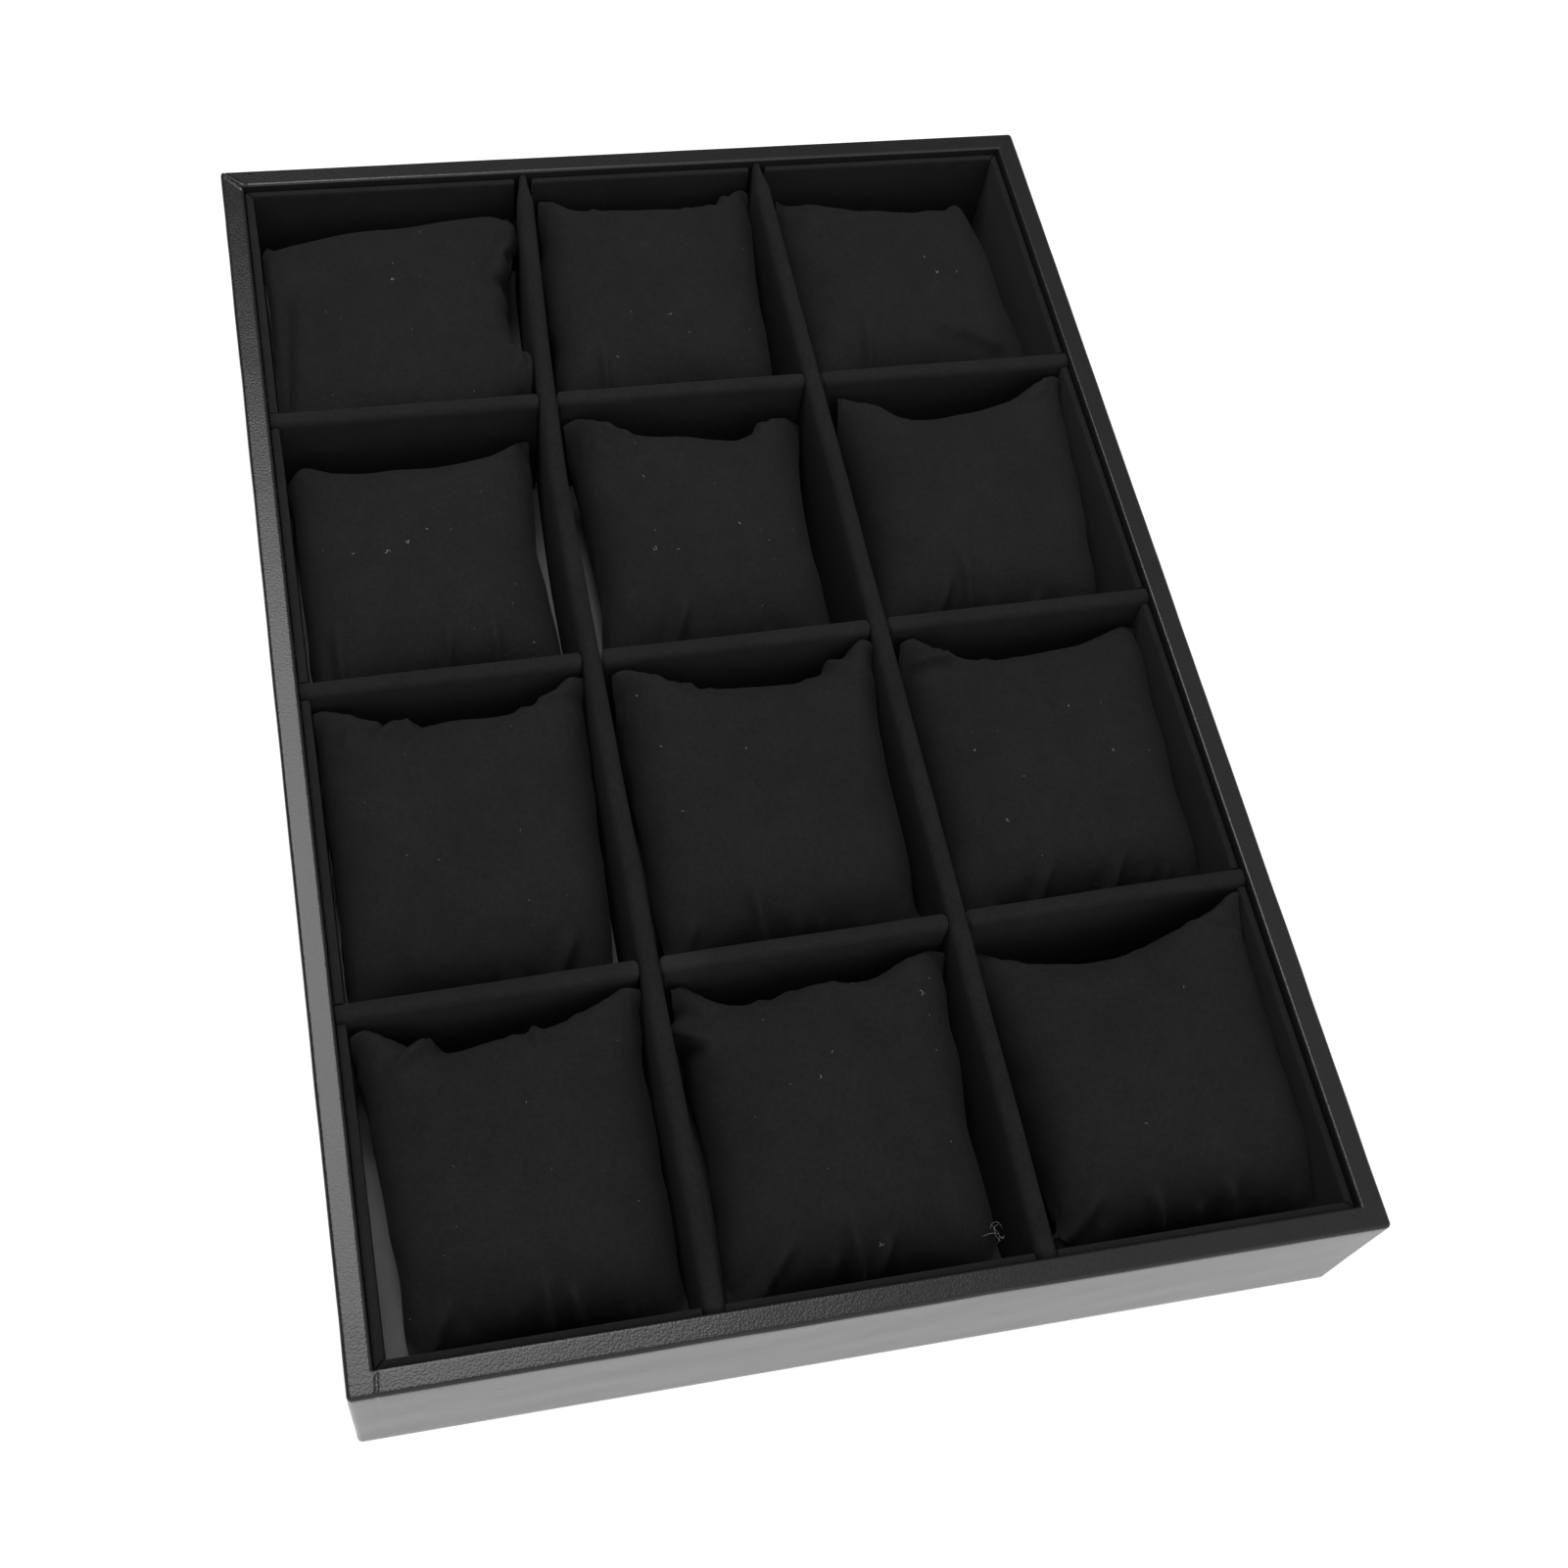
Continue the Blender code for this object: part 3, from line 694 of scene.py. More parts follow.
def add_divider(node, settings, material, seed):
    """A velvet-covered board: the section carried along the divider's middle line.

    Its free ends are rounded as folded velvet is, by a quarter circle, and where an end passes a
    lining only its upper part, a tongue, goes on to the wall. The edges stray a little from straight.
    """
    is_long = node in LONG_DIVIDERS
    line = LONG_LINES[LONG_DIVIDERS.index(node)] if is_long else CROSS_LINES[int(node[15]), int(node[18])]
    places, stops, tongues = divider_places(node, line)
    end_width, end_drop, back_narrowing = 0.45, 0.0006, 0.55
    from_ends = [np.clip(places - stops[0], 0, NOSE), np.clip(stops[1] - places, 0, NOSE)]
    full = np.ones(len(places))
    for tongue, from_end in zip(tongues, from_ends):
        if not tongue:
            full *= np.sqrt(np.clip(1 - (1 - from_end / NOSE) ** 2, 0.0, 1))
    width = end_width + (1 - end_width) * full
    if is_long:
        width = width * (1 - back_narrowing * smooth_step(places, INSIDE_BACK - 0.0085, INSIDE_BACK + 0.0015))
    middle = long_line_at(line, places) if is_long else cross_line_at(line, places)
    in_tongue = (places < stops[0]) | (places > stops[1])
    bottom = np.where(in_tongue, DIVIDER_TOP - TONGUE_DEPTH, INSIDE_BOTTOM)
    section = divider_section()
    on_top = section[None, :, 1] > DIVIDER_TOP - 0.003
    across = section[None, :, 0] * width[:, None]
    height = np.maximum(section[None, :, 1] - end_drop * (1 - full[:, None]) * on_top, bottom[:, None])
    along = np.broadcast_to(places[:, None], across.shape)
    side = middle[:, None] + across
    points = np.stack([side, along, height], 2) if is_long else np.stack([along, side, height], 2)
    wobble = ripples(points, 0.040, seed) + 0.35 * ripples(points, 0.009, seed + 1)
    upper = smooth_step(height, DIVIDER_TOP - 0.030, DIVIDER_TOP)
    inside = smooth_step(np.minimum(*from_ends), 0.0, NOSE)[:, None]
    points[:, :, 0 if is_long else 1] += settings.divider_wobble * wobble * upper * inside
    dip = ripples(points, 0.03, seed + 2) - 1.0
    points[:, :, 2] += 0.7 * settings.divider_wobble * dip * upper * inside
    rows, columns = across.shape
    faces = grid_faces(rows, columns, False, True).tolist() + end_caps(rows, columns)
    divider = add_piece(node + "_velvet", points, faces, material, (node,))
    face_outward(divider)


def add_inside(settings):
    """Velvet on the linings, and the dividers' covered boards."""
    paler_end = (*CROSS_LINES[1, 2][0], DIVIDER_TOP)
    # The lining and cross divider velvet has painted light on its lower faces, 1.12 times as pale; the long
    # dividers' velvet is 1.12 times as pale in colour, with painted shade deep down their faces, 0.6 times as
    # dark
    long_colour = [1.12 * part for part in settings.velvet_colour]
    velvet = velvet_material(
        "lining_velvet", settings.velvet_colour, settings.velvet_sheen,
        seed=0.13, painted_depth_shade=1.12, paler_place=paler_end)
    long_velvet = velvet_material(
        "long_divider_velvet", long_colour, settings.long_divider_sheen,
        seed=0.57, specular=0.045, painted_depth_shade=0.6)
    for node in LININGS:
        dress(node, velvet)
    for index, node in enumerate(LONG_DIVIDERS):
        add_divider(node, settings, long_velvet, 40 + 5 * index)
    for row, column in CROSS_LINES:
        add_divider("cross_divider_r%d_c%d" % (row, column), settings, velvet, 60 + 15 * row + 5 * column)


def dress(node, material):
    """Gives a solid of the frame its material."""
    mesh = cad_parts[node].data
    mesh.materials.clear()
    mesh.materials.append(material)


# Pillows

# Each pillow's own shape, in millimetres: its gaps to the compartment's left side at the back,
# middle and front, the same on the right, the back seam's heights at the places SEAM_PLACES
# across, how far the seam is drawn in between the ears, and the height of the crown. Where a gap
# is under nothing, the pillow is pressed flat against that side.
# The turned pillow's left is its front, and its back is its right end.
SEAM_PLACES = (-1.0, -0.85, -0.7, -0.45, 0.0, 0.45, 0.7, 0.85, 1.0)
PILLOWS = {
    (1, 1): ((0, 3.5, 5), (0.5, 1, 0.5), (38, 37, 31.5, 20.5, 26.5, 30.5, 36, 38.5, 40), 5.5, 38.5),
    (1, 2): ((1.5, 5, 2.5), (0.5, 3, 3.5), (37, 32.5, 25.5, 20, 31, 26.5, 34.5, 33, 33.5), 5.5, 38.5),
    (1, 3): ((1, 7, 5), (-2.5, -2, -2.5), (31, 24.5, 19.5, 16.5, 17.5, 36, 39.5, 40, 40.5), 9, 39.5),
    (2, 1): ((-0.8, 1, 0.5), (-0.5, 1.5, 4), (37, 35.5, 34, 24, 25.5, 26, 33, 38, 39), 6, 38.5),
    (2, 2): ((1.5, 4, 3.5), (-1, 1.5, 1), (39.5, 38.5, 36, 27.5, 24, 23, 30, 40, 38.5), 5, 39),
    (2, 3): ((2, 3.5, 3.5), (-0.5, 1, 2), (38, 37.5, 32.5, 25, 22, 25, 29.5, 31, 32), 6, 39.5),
    (3, 1): ((0, 1, 0.5), (2.5, 4, 1.5), (20, 21, 19.5, 17, 17, 20, 23, 26.5, 29.5), 11.5, 37),
    (3, 2): ((1, 6, 2), (0.5, 6, 4.5), (34.5, 35.5, 36, 30.5, 26.5, 20, 29.5, 28.5, 26.5), 10.5, 37.5),
    (3, 3): ((3.5, 6, 2), (-1.5, 1.5, 6.5), (37.5, 34, 32, 20.5, 20, 28.5, 37.5, 38, 37), 8, 39.5),
    (4, 1): ((3, 0.5, 1.5), (0.5, 4, 7), (33, 39, 39, 29, 25, 31.5, 32, 27, 27.5), 4.2, 37.5),
    (4, 2): ((1.5, 2.5, 3), (-0.5, 2.5, 4.5), (35, 32.5, 27, 24.5, 24.5, 25, 27.5, 33.5, 34), 6, 38),
    (4, 3): ((3.5, 2.5, 3.5), (6, 4.5, 0.5), (31, 26, 27.5, 24.5, 20, 16, 16.5, 20, 20.5), 13, 36),
}

# The pillows that lie crosswise
TURNED = ((4, 1),)

# A pillow's usual half width and half length in millimetres, its points round and along, and how
# much larger the cloth solver sees it
HALF_ACROSS, HALF_ALONG = 32.0, 38.0
RING, STATIONS = 88, 44
SIM_SCALE = 10.0


def superellipse(part, squareness):
    """A superellipse's coordinate, -1 to 1: a cosine or sine to the power of 2 / squareness."""
    return np.sign(part) * np.abs(part) ** (2 / squareness)


def section_angles(squareness, width, height):
    """Angles that divide a superellipse into RING steps of equal length, and its whole length."""
    fine = np.linspace(0, 2 * math.pi, 8001)
    across = superellipse(np.cos(fine), squareness) * width / 2
    up = superellipse(np.sin(fine), squareness) * height / 2
    run = np.concatenate([[0], np.cumsum(np.hypot(np.diff(across), np.diff(up)))])
    return np.interp(np.arange(RING) / RING * run[-1], run, fine), run[-1]


def flat_shares():
    """Shares across of a cover laid flat: even steps from 1 to -1 above and back again below."""
    index = np.arange(RING)
    return 1 - 4 * np.minimum(index, RING - index) / RING


def smooth_curve(x, places, values):
    """A cubic through the values at the places, with the slopes that neighbouring values give."""
    places, values = np.array(places), np.array(values)
    slopes = np.gradient(values, places)
    i = np.clip(np.searchsorted(places, x) - 1, 0, len(places) - 2)
    step = places[i + 1] - places[i]
    t = (x - places[i]) / step
    start = (1 + 2 * t) * (1 - t) ** 2 * values[i] + t * (1 - t) ** 2 * step * slopes[i]
    return start + t * t * (3 - 2 * t) * values[i + 1] + t * t * (t - 1) * step * slopes[i + 1]


def side_gap(gaps, v):
    """A gap along the pillow: a parabola through its values at the back, the middle and the front."""
    back, middle, front = (gap * MM for gap in gaps)
    return middle + (back - front) / 2 * v + ((back + front) / 2 - middle) * v * v


def between(first, last, first_gap, last_gap, share):
    """The place at a share, from -1 to 1, between two faces that each keep a gap."""
    return (first + first_gap) * (1 - share) / 2 + (last - last_gap) * (1 + share) / 2


def pillow_form(row, column, settings):
    """A pillow's filled form as points [RING, STATIONS, 3], with its shares across and along.

    Round the pillow the section is a superellipse. Towards each end its height shrinks to a flat
    seam, by powers of the share along, and the seam is drawn in between two ears. The back seam
    has heights of its own, and the front one rises from its middle.
    """
    turned = (row, column) in TURNED
    left_gaps, right_gaps, seam, pull, top = PILLOWS[row, column]
    half_height = (top * MM - INSIDE_BOTTOM) / 2
    middle = INSIDE_BOTTOM + half_height
    angles, girth = section_angles(settings.squareness, 2 * HALF_ACROSS * MM, 2 * half_height)
    round_across = superellipse(np.cos(angles), settings.squareness)[:, None]
    up = superellipse(np.sin(angles), settings.squareness)[:, None]
    place = np.linspace(-1, 1, STATIONS)[None, :]
    v = np.sign(place) * (1 - (1 - np.abs(place)) ** 1.3)
    at_back = v > 0
    flat = np.abs(v) ** 9
    across = round_across * (1 - flat) + flat_shares()[:, None] * flat
    near_end = np.abs(v) ** 5
    back_fullness = np.sqrt(np.clip(1 - np.abs(v) ** 6, 0, 1))
    front_fullness = np.clip(1 - np.abs(v) ** 2.7, 0, 1) ** 0.6
    fullness = np.where(at_back, back_fullness, front_fullness)
    back_lift = smooth_curve(across, SEAM_PLACES, seam) * MM - middle
    if turned:
        front_lift = 0.0085 - 0.0025 * np.abs(across) ** 4
        front_pull, ear_start, pull_middle, end_gap = 0.0006, 0.62, -0.08, 0.0006
    else:
        front_lift = -0.0030 + 0.0080 * np.abs(across) ** 4.5
        front_pull, ear_start, pull_middle, end_gap = 0.0026, 0.86, 0.0, 0.0014
    ear_swell, ear_tip, tip_pull = 0.0042, 0.86, 0.0020
    swell = near_end * ear_swell * np.abs(across) ** 4 * (1 - flat)
    lift = near_end * np.where(at_back, back_lift, front_lift)
    height = middle + up * (half_height * fullness + swell * (1 - fullness)) + lift
    inside = np.minimum(np.abs(across - pull_middle) / ear_start, 1)
    outside = np.maximum(np.abs(across) - ear_tip, 0) / (1 - ear_tip)
    seam_pull = np.where(at_back, pull * MM, front_pull)
    drawn_in = near_end * (seam_pull * (1 - inside**2.5) + tip_pull * outside**2)
    across, v, height = np.broadcast_arrays(across, v, height)
    low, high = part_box("pillow_r%d_c%d" % (row, column))
    x, y = np.full(v.shape, (low.x + high.x) / 2), np.full(v.shape, (low.y + high.y) / 2)
    side_gaps = side_gap(left_gaps, v), side_gap(right_gaps, v)
    # The faces at a place depend on the place, so it is found in a few rounds
    for _ in range(4):
        left, right = compartment_sides(row, column, x, y)[:2]
        if turned:
            x = between(left, right, end_gap, end_gap, v) - np.sign(v) * drawn_in
        else:
            x = between(left, right, *side_gaps, across)
        front, back = compartment_sides(row, column, x, y)[2:]
        if turned:
            y = between(front, back, *side_gaps, across)
        else:
            y = between(front, back, end_gap, end_gap, v) - np.sign(v) * drawn_in
    return np.stack([x, y, height], 2), across, v, girth


def bag_faces():
    """Faces of a cover whose upper and lower halves share their points along both end seams."""
    ids = np.arange(RING * STATIONS).reshape(RING, STATIONS)
    twin = np.minimum(np.arange(RING), (-np.arange(RING)) % RING)
    ids[:, 0] = ids[twin, 0]
    ids[:, -1] = ids[twin, -1]
    used, compact = np.unique(ids, return_inverse=True)
    compact = compact.reshape(ids.shape)
    after = np.roll(compact, -1, 0)
    quads = np.stack([compact[:, :-1], after[:, :-1], after[:, 1:], compact[:, 1:]], 2).reshape(-1, 4)
    faces = [list(dict.fromkeys(quad)) for quad in quads.tolist()]
    return used, compact, faces


def add_bag(name, points, girth, settings, used, faces):
    """A cover ready to be inflated, enlarged for the solver, with its cut pattern as the rest shape.

    The pattern is flat, half the girth wide and as long as the form's top line, plus the slack. The
    filling holds the middle firmly and the ends hardly.
    """
    slack_across, least_hold, held_share = 0.3, 0.06, 0.8
    mesh = bpy.data.meshes.new(name)
    mesh.from_pydata((points.reshape(-1, 3)[used] * SIM_SCALE).tolist(), [], faces)
    mesh.update()
    bag = bpy.data.objects.new(name, mesh)
    bpy.context.scene.collection.objects.link(bag)
    bag.shape_key_add(name="Basis")
    cut = bag.shape_key_add(name="cut")
    flat_x = flat_shares() * girth / 4
    top_line = points[RING // 4]
    run = np.concatenate([[0], np.cumsum(np.linalg.norm(np.diff(top_line, axis=0), axis=1))])
    pattern = np.zeros((RING, STATIONS, 3))
    pattern[:, :, 0] = flat_x[:, None] * (1 + slack_across * settings.slack)
    pattern[:, :, 1] = (run - run[-1] / 2)[None, :] * (1 + settings.slack)
    cut.data.foreach_set("co", (pattern.reshape(-1, 3)[used] * SIM_SCALE).astype(np.float32).ravel())
    place = np.abs(np.linspace(-1, 1, STATIONS))[None, :].repeat(RING, 0)
    weight = least_hold + settings.hold * np.clip(1 - (place / held_share) ** 4, 0, 1)
    group = bag.vertex_groups.new(name="filling")
    for i, value in enumerate(weight.reshape(-1)[used].tolist()):
        group.add([i], min(value, 1.0), "REPLACE")
    cloth = bag.modifiers.new("cover", "CLOTH")
    fabric = cloth.settings
    fabric.quality = 6
    fabric.mass = 0.02
    fabric.tension_stiffness = 20
    fabric.compression_stiffness = 20
    fabric.shear_stiffness = 6
    fabric.bending_stiffness = 0.03
    fabric.use_pressure = True
    fabric.uniform_pressure_force = settings.pressure
    fabric.effector_weights.gravity = 0
    fabric.vertex_group_mass = group.name
    fabric.rest_shape_key = cut
    cloth.collision_settings.use_collision = False
    return bag


def inflate(forms, settings):
    """Inflates all covers together and returns their new points on the same grids."""
    used, compact, faces = bag_faces()
    bags = {}
    for key, (points, _, _, girth) in forms.items():
        bags[key] = add_bag("bag_r%d_c%d" % key, points, girth, settings, used, faces)
    scene = bpy.context.scene
    for number in range(1, settings.frames + 1):
        scene.frame_set(number)
    graph = bpy.context.evaluated_depsgraph_get()
    result = {}
    for key, bag in bags.items():
        mesh = bag.evaluated_get(graph).data
        co = np.zeros(len(mesh.vertices) * 3, np.float32)
        mesh.vertices.foreach_get("co", co)
        result[key] = (co.reshape(-1, 3).astype(float) / SIM_SCALE)[compact]
    for bag in bags.values():
        mesh = bag.data
        bpy.data.objects.remove(bag, do_unlink=True)
        bpy.data.meshes.remove(mesh)
    scene.frame_set(1)
    return result


def smoothed(grid, passes):
    """A grid blurred by a small filter, used many times over. Its rows join up and its columns end."""
    for _ in range(passes):
        grid = (np.roll(grid, 1, 0) + 2 * grid + np.roll(grid, -1, 0)) / 4
        padded = np.concatenate([grid[:, :1], grid, grid[:, -1:]], 1)
        grid = (padded[:, :-2] + 2 * grid + padded[:, 2:]) / 4
    return grid


def refine(grid):
    """Doubles a grid's rows, which join up, and its columns, which end, by cubic spline subdivision."""
    before, after = np.roll(grid, 1, 0), np.roll(grid, -1, 0)
    rows = np.empty((2 * grid.shape[0],) + grid.shape[1:])
    rows[0::2] = (before + 6 * grid + after) / 8
    rows[1::2] = (grid + after) / 2
    columns = np.empty((rows.shape[0], 2 * rows.shape[1] - 1) + rows.shape[2:])
    columns[:, 0::2] = rows
    columns[:, 2:-1:2] = (rows[:, :-2] + 6 * rows[:, 1:-1] + rows[:, 2:]) / 8
    columns[:, 1::2] = (rows[:, :-1] + rows[:, 1:]) / 2
    return columns


def grid_normals(points):
    """Outward directions of a closed tube's grid."""
    around = np.roll(points, -1, 0) - np.roll(points, 1, 0)
    along = np.gradient(points, axis=1)
    normals = np.cross(around, along)
    length = np.linalg.norm(normals, axis=2, keepdims=True)
    return normals / np.maximum(length, 1e-12)


# Creases on the pillows' upper sides: pillow, then shares (across, along) where each starts and
# ends, its depth and its half width in millimetres
CREASES = {
    (1, 1): ((-0.45, 0.96, -0.82, 0.68, 2, 1.4), (0.24, 0.99, 0.25, 0.62, 1, 1.1),
        (0, -0.97, 0, -0.64, 2.2, 1.1), (0.22, -0.97, 0.18, -0.72, 1.6, 1.1),
        (-0.85, -0.97, -0.66, -0.7, 1.8, 1.5)),
    (1, 2): ((-1, 0.78, -0.8, 0.56, 3, 1.5), (-0.04, -0.97, -0.12, -0.58, 2.4, 1.2),
        (0.08, -0.97, 0.2, -0.72, 1.9, 1.2), (-0.84, -0.97, -0.48, -0.66, 2.2, 1.7),
        (-0.25, -0.97, -0.22, -0.78, 1, 1.1)),
    (1, 3): ((-0.24, -0.97, -0.31, -0.72, 2, 1.2), (0.28, -0.97, 0.24, -0.72, 2, 1.2),
        (-0.98, -0.94, -0.66, -0.66, 2.2, 1.7), (0.05, -0.97, 0.04, -0.84, 1, 1.1)),
    (2, 1): ((-0.24, 0.99, -0.65, 0.66, 1.8, 1.5), (0.66, 0.9, 0.92, 0.9, 1.2, 1.2),
        (0.55, -0.97, 0.73, -0.66, 1.4, 1.6)),
    (2, 2): ((-0.26, -0.97, -0.31, -0.58, 2.2, 1.2), (-0.88, -0.95, -0.74, -0.7, 1.5, 1.5),
        (-0.42, 0.94, -0.6, 0.7, 1, 1.2), (0.66, 0.99, 0.72, 0.84, 1.4, 1.3)),
    (2, 3): ((-0.4, -0.97, -0.28, -0.72, 2, 1.2), (0.18, -0.97, 0.32, -0.72, 2, 1.2),
        (-0.68, 0.84, -0.96, 0.8, 2.2, 1.3)),
    (3, 1): ((0.04, -0.97, 0.13, -0.56, 2, 1.1), (0.46, -0.97, 0.47, -0.56, 1.9, 1.1),
        (-0.75, -0.97, -0.76, -0.46, 1.8, 1.5)),
    (3, 2): ((-0.44, -0.97, -0.27, -0.56, 2, 1.6), (0.58, 0.99, 0.66, 0.82, 1, 1.2)),
    (3, 3): ((-0.2, -0.97, -0.31, -0.5, 2.2, 1.2), (-0.54, -0.97, -0.4, -0.62, 1.7, 1.5)),
    (4, 1): ((-0.75, -0.97, 0.45, -0.85, 1.6, 2.8), (0.12, 0.97, 0.12, 0.6, 0.7, 2),
        (0.55, 0.9, 0.1, 0.66, 0.7, 1.9), (-0.62, 0.97, -0.92, 0.9, 1.3, 1.3)),
    (4, 2): ((-0.59, -0.97, -0.59, -0.46, 1.7, 1.2), (0.72, 0.98, 0.76, 0.84, 1, 1.1)),
    (4, 3): ((-0.56, -0.97, -0.46, -0.34, 1.7, 1.2), (0.66, -0.68, -0.04, -0.44, 1, 2.2)),
}


def crease_depth(a_mm, l_mm, crease):
    """A groove along a line on the pillow, in millimetres, deepest at its start and fading at its end.

    Its section is a bell curve with a low lip on each side.
    """
    a0, l0, a1, l1, depth, width = crease
    start = np.array([a0 * HALF_ACROSS, l0 * HALF_ALONG])
    end = np.array([a1 * HALF_ACROSS, l1 * HALF_ALONG])
    run = end - start
    share = ((a_mm - start[0]) * run[0] + (l_mm - start[1]) * run[1]) / (run @ run)
    share = np.clip(share, 0.0, 1.0)
    gap = np.hypot(a_mm - start[0] - share * run[0], l_mm - start[1] - share * run[1])
    lip = np.exp(-(((gap - 2.0 * width) / (0.9 * width)) ** 2))
    fade = 1 - smooth_step(share, 0.55, 1.0)
    return depth * fade * (np.exp(-((gap / width) ** 2)) - 0.10 * lip)


def small_gathers(a_mm, l_mm, side, rng):
    """Short shallow creases that run in from an end seam, at seeded places: more of them in front."""
    total = np.zeros(a_mm.shape)
    for _ in range(7 if side < 0 else 5):
        place = rng.uniform(-0.8, 0.8)
        lean = rng.uniform(-0.06, 0.06)
        reach = rng.uniform(0.78, 0.90)
        depth, width = rng.uniform(0.25, 0.75), rng.uniform(0.8, 1.5)
        total += crease_depth(a_mm, l_mm, (place, side * 0.995, place + lean, side * reach, depth, width))
    return total


def sew(points, across, along, key, crease_strength, seed):
    """Adds what sewing and filling do: seam puckers, creases, gathers and lumps under the cover.

    Puckers are a sine across the pillow that dies away from the seam. All depths are millimetres
    along the cover's outward direction.
    """
    pucker_height, pucker_length, pucker_reach = 0.13, 2.8, 2.2
    rim_blend = 0.004
    rng = np.random.default_rng(seed)
    a_mm, l_mm = across * HALF_ACROSS, along * HALF_ALONG
    from_end = HALF_ALONG - np.abs(l_mm)
    level = points[:, :, 2].mean()
    top = smooth_step(points[:, :, 2], level - rim_blend, level + rim_blend)
    depth = np.zeros(across.shape)
    for crease in CREASES[key]:
        depth += crease_strength * top * crease_depth(a_mm, l_mm, crease)
    for side in (1,) if key in TURNED else (-1, 1):
        depth += small_gathers(a_mm, l_mm, side, rng)
    phase = 1.6 * np.sin(a_mm / 5.3 + rng.uniform(0, 6)) + rng.uniform(0, 6)
    pucker = np.sin(2 * math.pi * a_mm / pucker_length + phase) * np.exp(-from_end / pucker_reach)
    lumps = 0.55 * ripples(points, 0.030, seed) + 0.22 * ripples(points, 0.012, seed + 1)
    body = smooth_step(from_end, 0.0, 9.0)
    push = -depth + pucker_height * pucker + lumps * (0.35 + 0.65 * body) * 0.8
    ends = smooth_step(from_end, -0.01, 0.8)
    return points + grid_normals(points) * (push * ends * MM)[:, :, None]


def keep_inside(points, row, column):
    """Moves points that would pass the compartment's faces or its floor back by a hair's clearance."""
    clearance = 0.0003
    left, right, front, back = compartment_sides(row, column, points[:, :, 0], points[:, :, 1])
    points[:, :, 0] = np.clip(points[:, :, 0], left + clearance, right - clearance)
    points[:, :, 1] = np.clip(points[:, :, 1], front + clearance, back - clearance)
    points[:, :, 2] = np.maximum(points[:, :, 2], INSIDE_BOTTOM)
    return points


def tube_faces(rows, columns):
    """Faces of a closed cover: its two end seams join the upper and the lower half."""
    faces = grid_faces(rows, columns, True, False).tolist()
    for column in (0, columns - 1):
        for i in range(rows // 2):
            around = (i, i + 1, (rows - i - 1) % rows, (rows - i) % rows)
            strip = [place * columns + column for place in around]
            faces.append(list(dict.fromkeys(strip)))
    return faces


def folds_of(inflated, form, along, settings):
    """The small folds of an inflated cover: its movement less the blurred movement.

    They fade before both ends, and none moves a point further than the furthest move.
    """
    move = inflated - form
    move -= smoothed(move, settings.fold_passes)
    move *= (smooth_step(along, -0.85, -0.45) * (1 - smooth_step(along, 0.72, 0.95)))[:, :, None]
    length = np.linalg.norm(move, axis=2, keepdims=True)
    return move * np.minimum(1, settings.furthest_move / np.maximum(length, 1e-9))


def add_pillows(settings):
    """Twelve pillows: filled forms with an inflated cover's small folds, then sewn and creased."""
    forms = {(row, column): pillow_form(row, column, settings) for row in ROWS for column in COLUMNS}
    inflated = inflate(forms, settings)
    pillows = []
    for key, (form, across, along, _) in forms.items():
        points = form + folds_of(inflated[key], form, along, settings) if inflated else form
        points = refine(keep_inside(points, *key))
        across, along = (refine(share[:, :, None])[:, :, 0] for share in (across, along))
        points = sew(points, across, along, key, settings.crease_strength, 100 + 10 * key[0] + key[1])
        points = keep_inside(points, *key)
        name = "pillow_r%d_c%d" % key
        velvet = velvet_material(name, settings.colour, settings.sheen, seed=0.31 * key[0] + 0.17 * key[1])
        faces = tube_faces(*across.shape)
        pillow = add_piece("stuffed_" + name, points, faces, velvet, (name,))
        face_outward(pillow)
        pillows.append(pillow)
    return pillows


# Lint

# The larger specks: their places in the 1601 pixel photograph, and their fibres' lengths in steps
# of LINT_STEP
LINT_PIXELS = (
    (650, 710, 7), (717, 753, 11), (675, 760, 5), (762, 762, 8), (696, 828, 6), (702, 850, 5),
    (995, 766, 6), (1027, 836, 8), (1136, 765, 6), (1090, 720, 5), (940, 1014, 9), (850, 1075, 5),
    (837, 1099, 6), (1170, 1147, 6), (1138, 1002, 5), (400, 285, 8), (684, 320, 8), (630, 365, 5),
    (956, 276, 9), (976, 277, 8), (943, 262, 5), (657, 486, 7), (668, 560, 9), (692, 560, 7),
    (755, 535, 8), (435, 540, 6), (460, 540, 6), (416, 553, 10), (396, 564, 10), (410, 600, 6),
    (360, 565, 5), (545, 655, 5), (900, 1270, 8), (855, 990, 5), (1208, 1008, 4), (420, 335, 4),
)
LINT_STEP = 0.00018
FIBRE_RADIUS = 0.00002

# Scattered fine specks on each pillow
FINE_SPECKS = 9

# The tuft of thread's pixel in the photograph, its height, and the number of its curls
THREAD_PIXEL = (1019, 1256)
THREAD_HEIGHT = 0.0375
THREADS = 7

# The photograph's camera: its place in metres, its turn in degrees, its lens in millimetres and
# its shift as a share of the picture
CAMERA_PLACE = (-0.10263, -0.26828, 0.45847)
CAMERA_TURN = (27.643, -6.7237, -11.1051)
CAMERA_LENS = 44.976
CAMERA_SHIFT = (0.0253, 0.04966)
SENSOR = 36.0
PHOTO_PIXELS = 1601


def pixel_ray(px, py, camera):
    """The ray of sight through a pixel of the photograph, from the camera's own lens and shift."""
    x = ((px + 0.5) / PHOTO_PIXELS - 0.5 + CAMERA_SHIFT[0]) * SENSOR / CAMERA_LENS
    y = (0.5 - (py + 0.5) / PHOTO_PIXELS + CAMERA_SHIFT[1]) * SENSOR / CAMERA_LENS
    turn = camera.matrix_world.to_3x3()
    return camera.matrix_world.translation, (turn @ Vector((x, y, -1.0))).normalized()


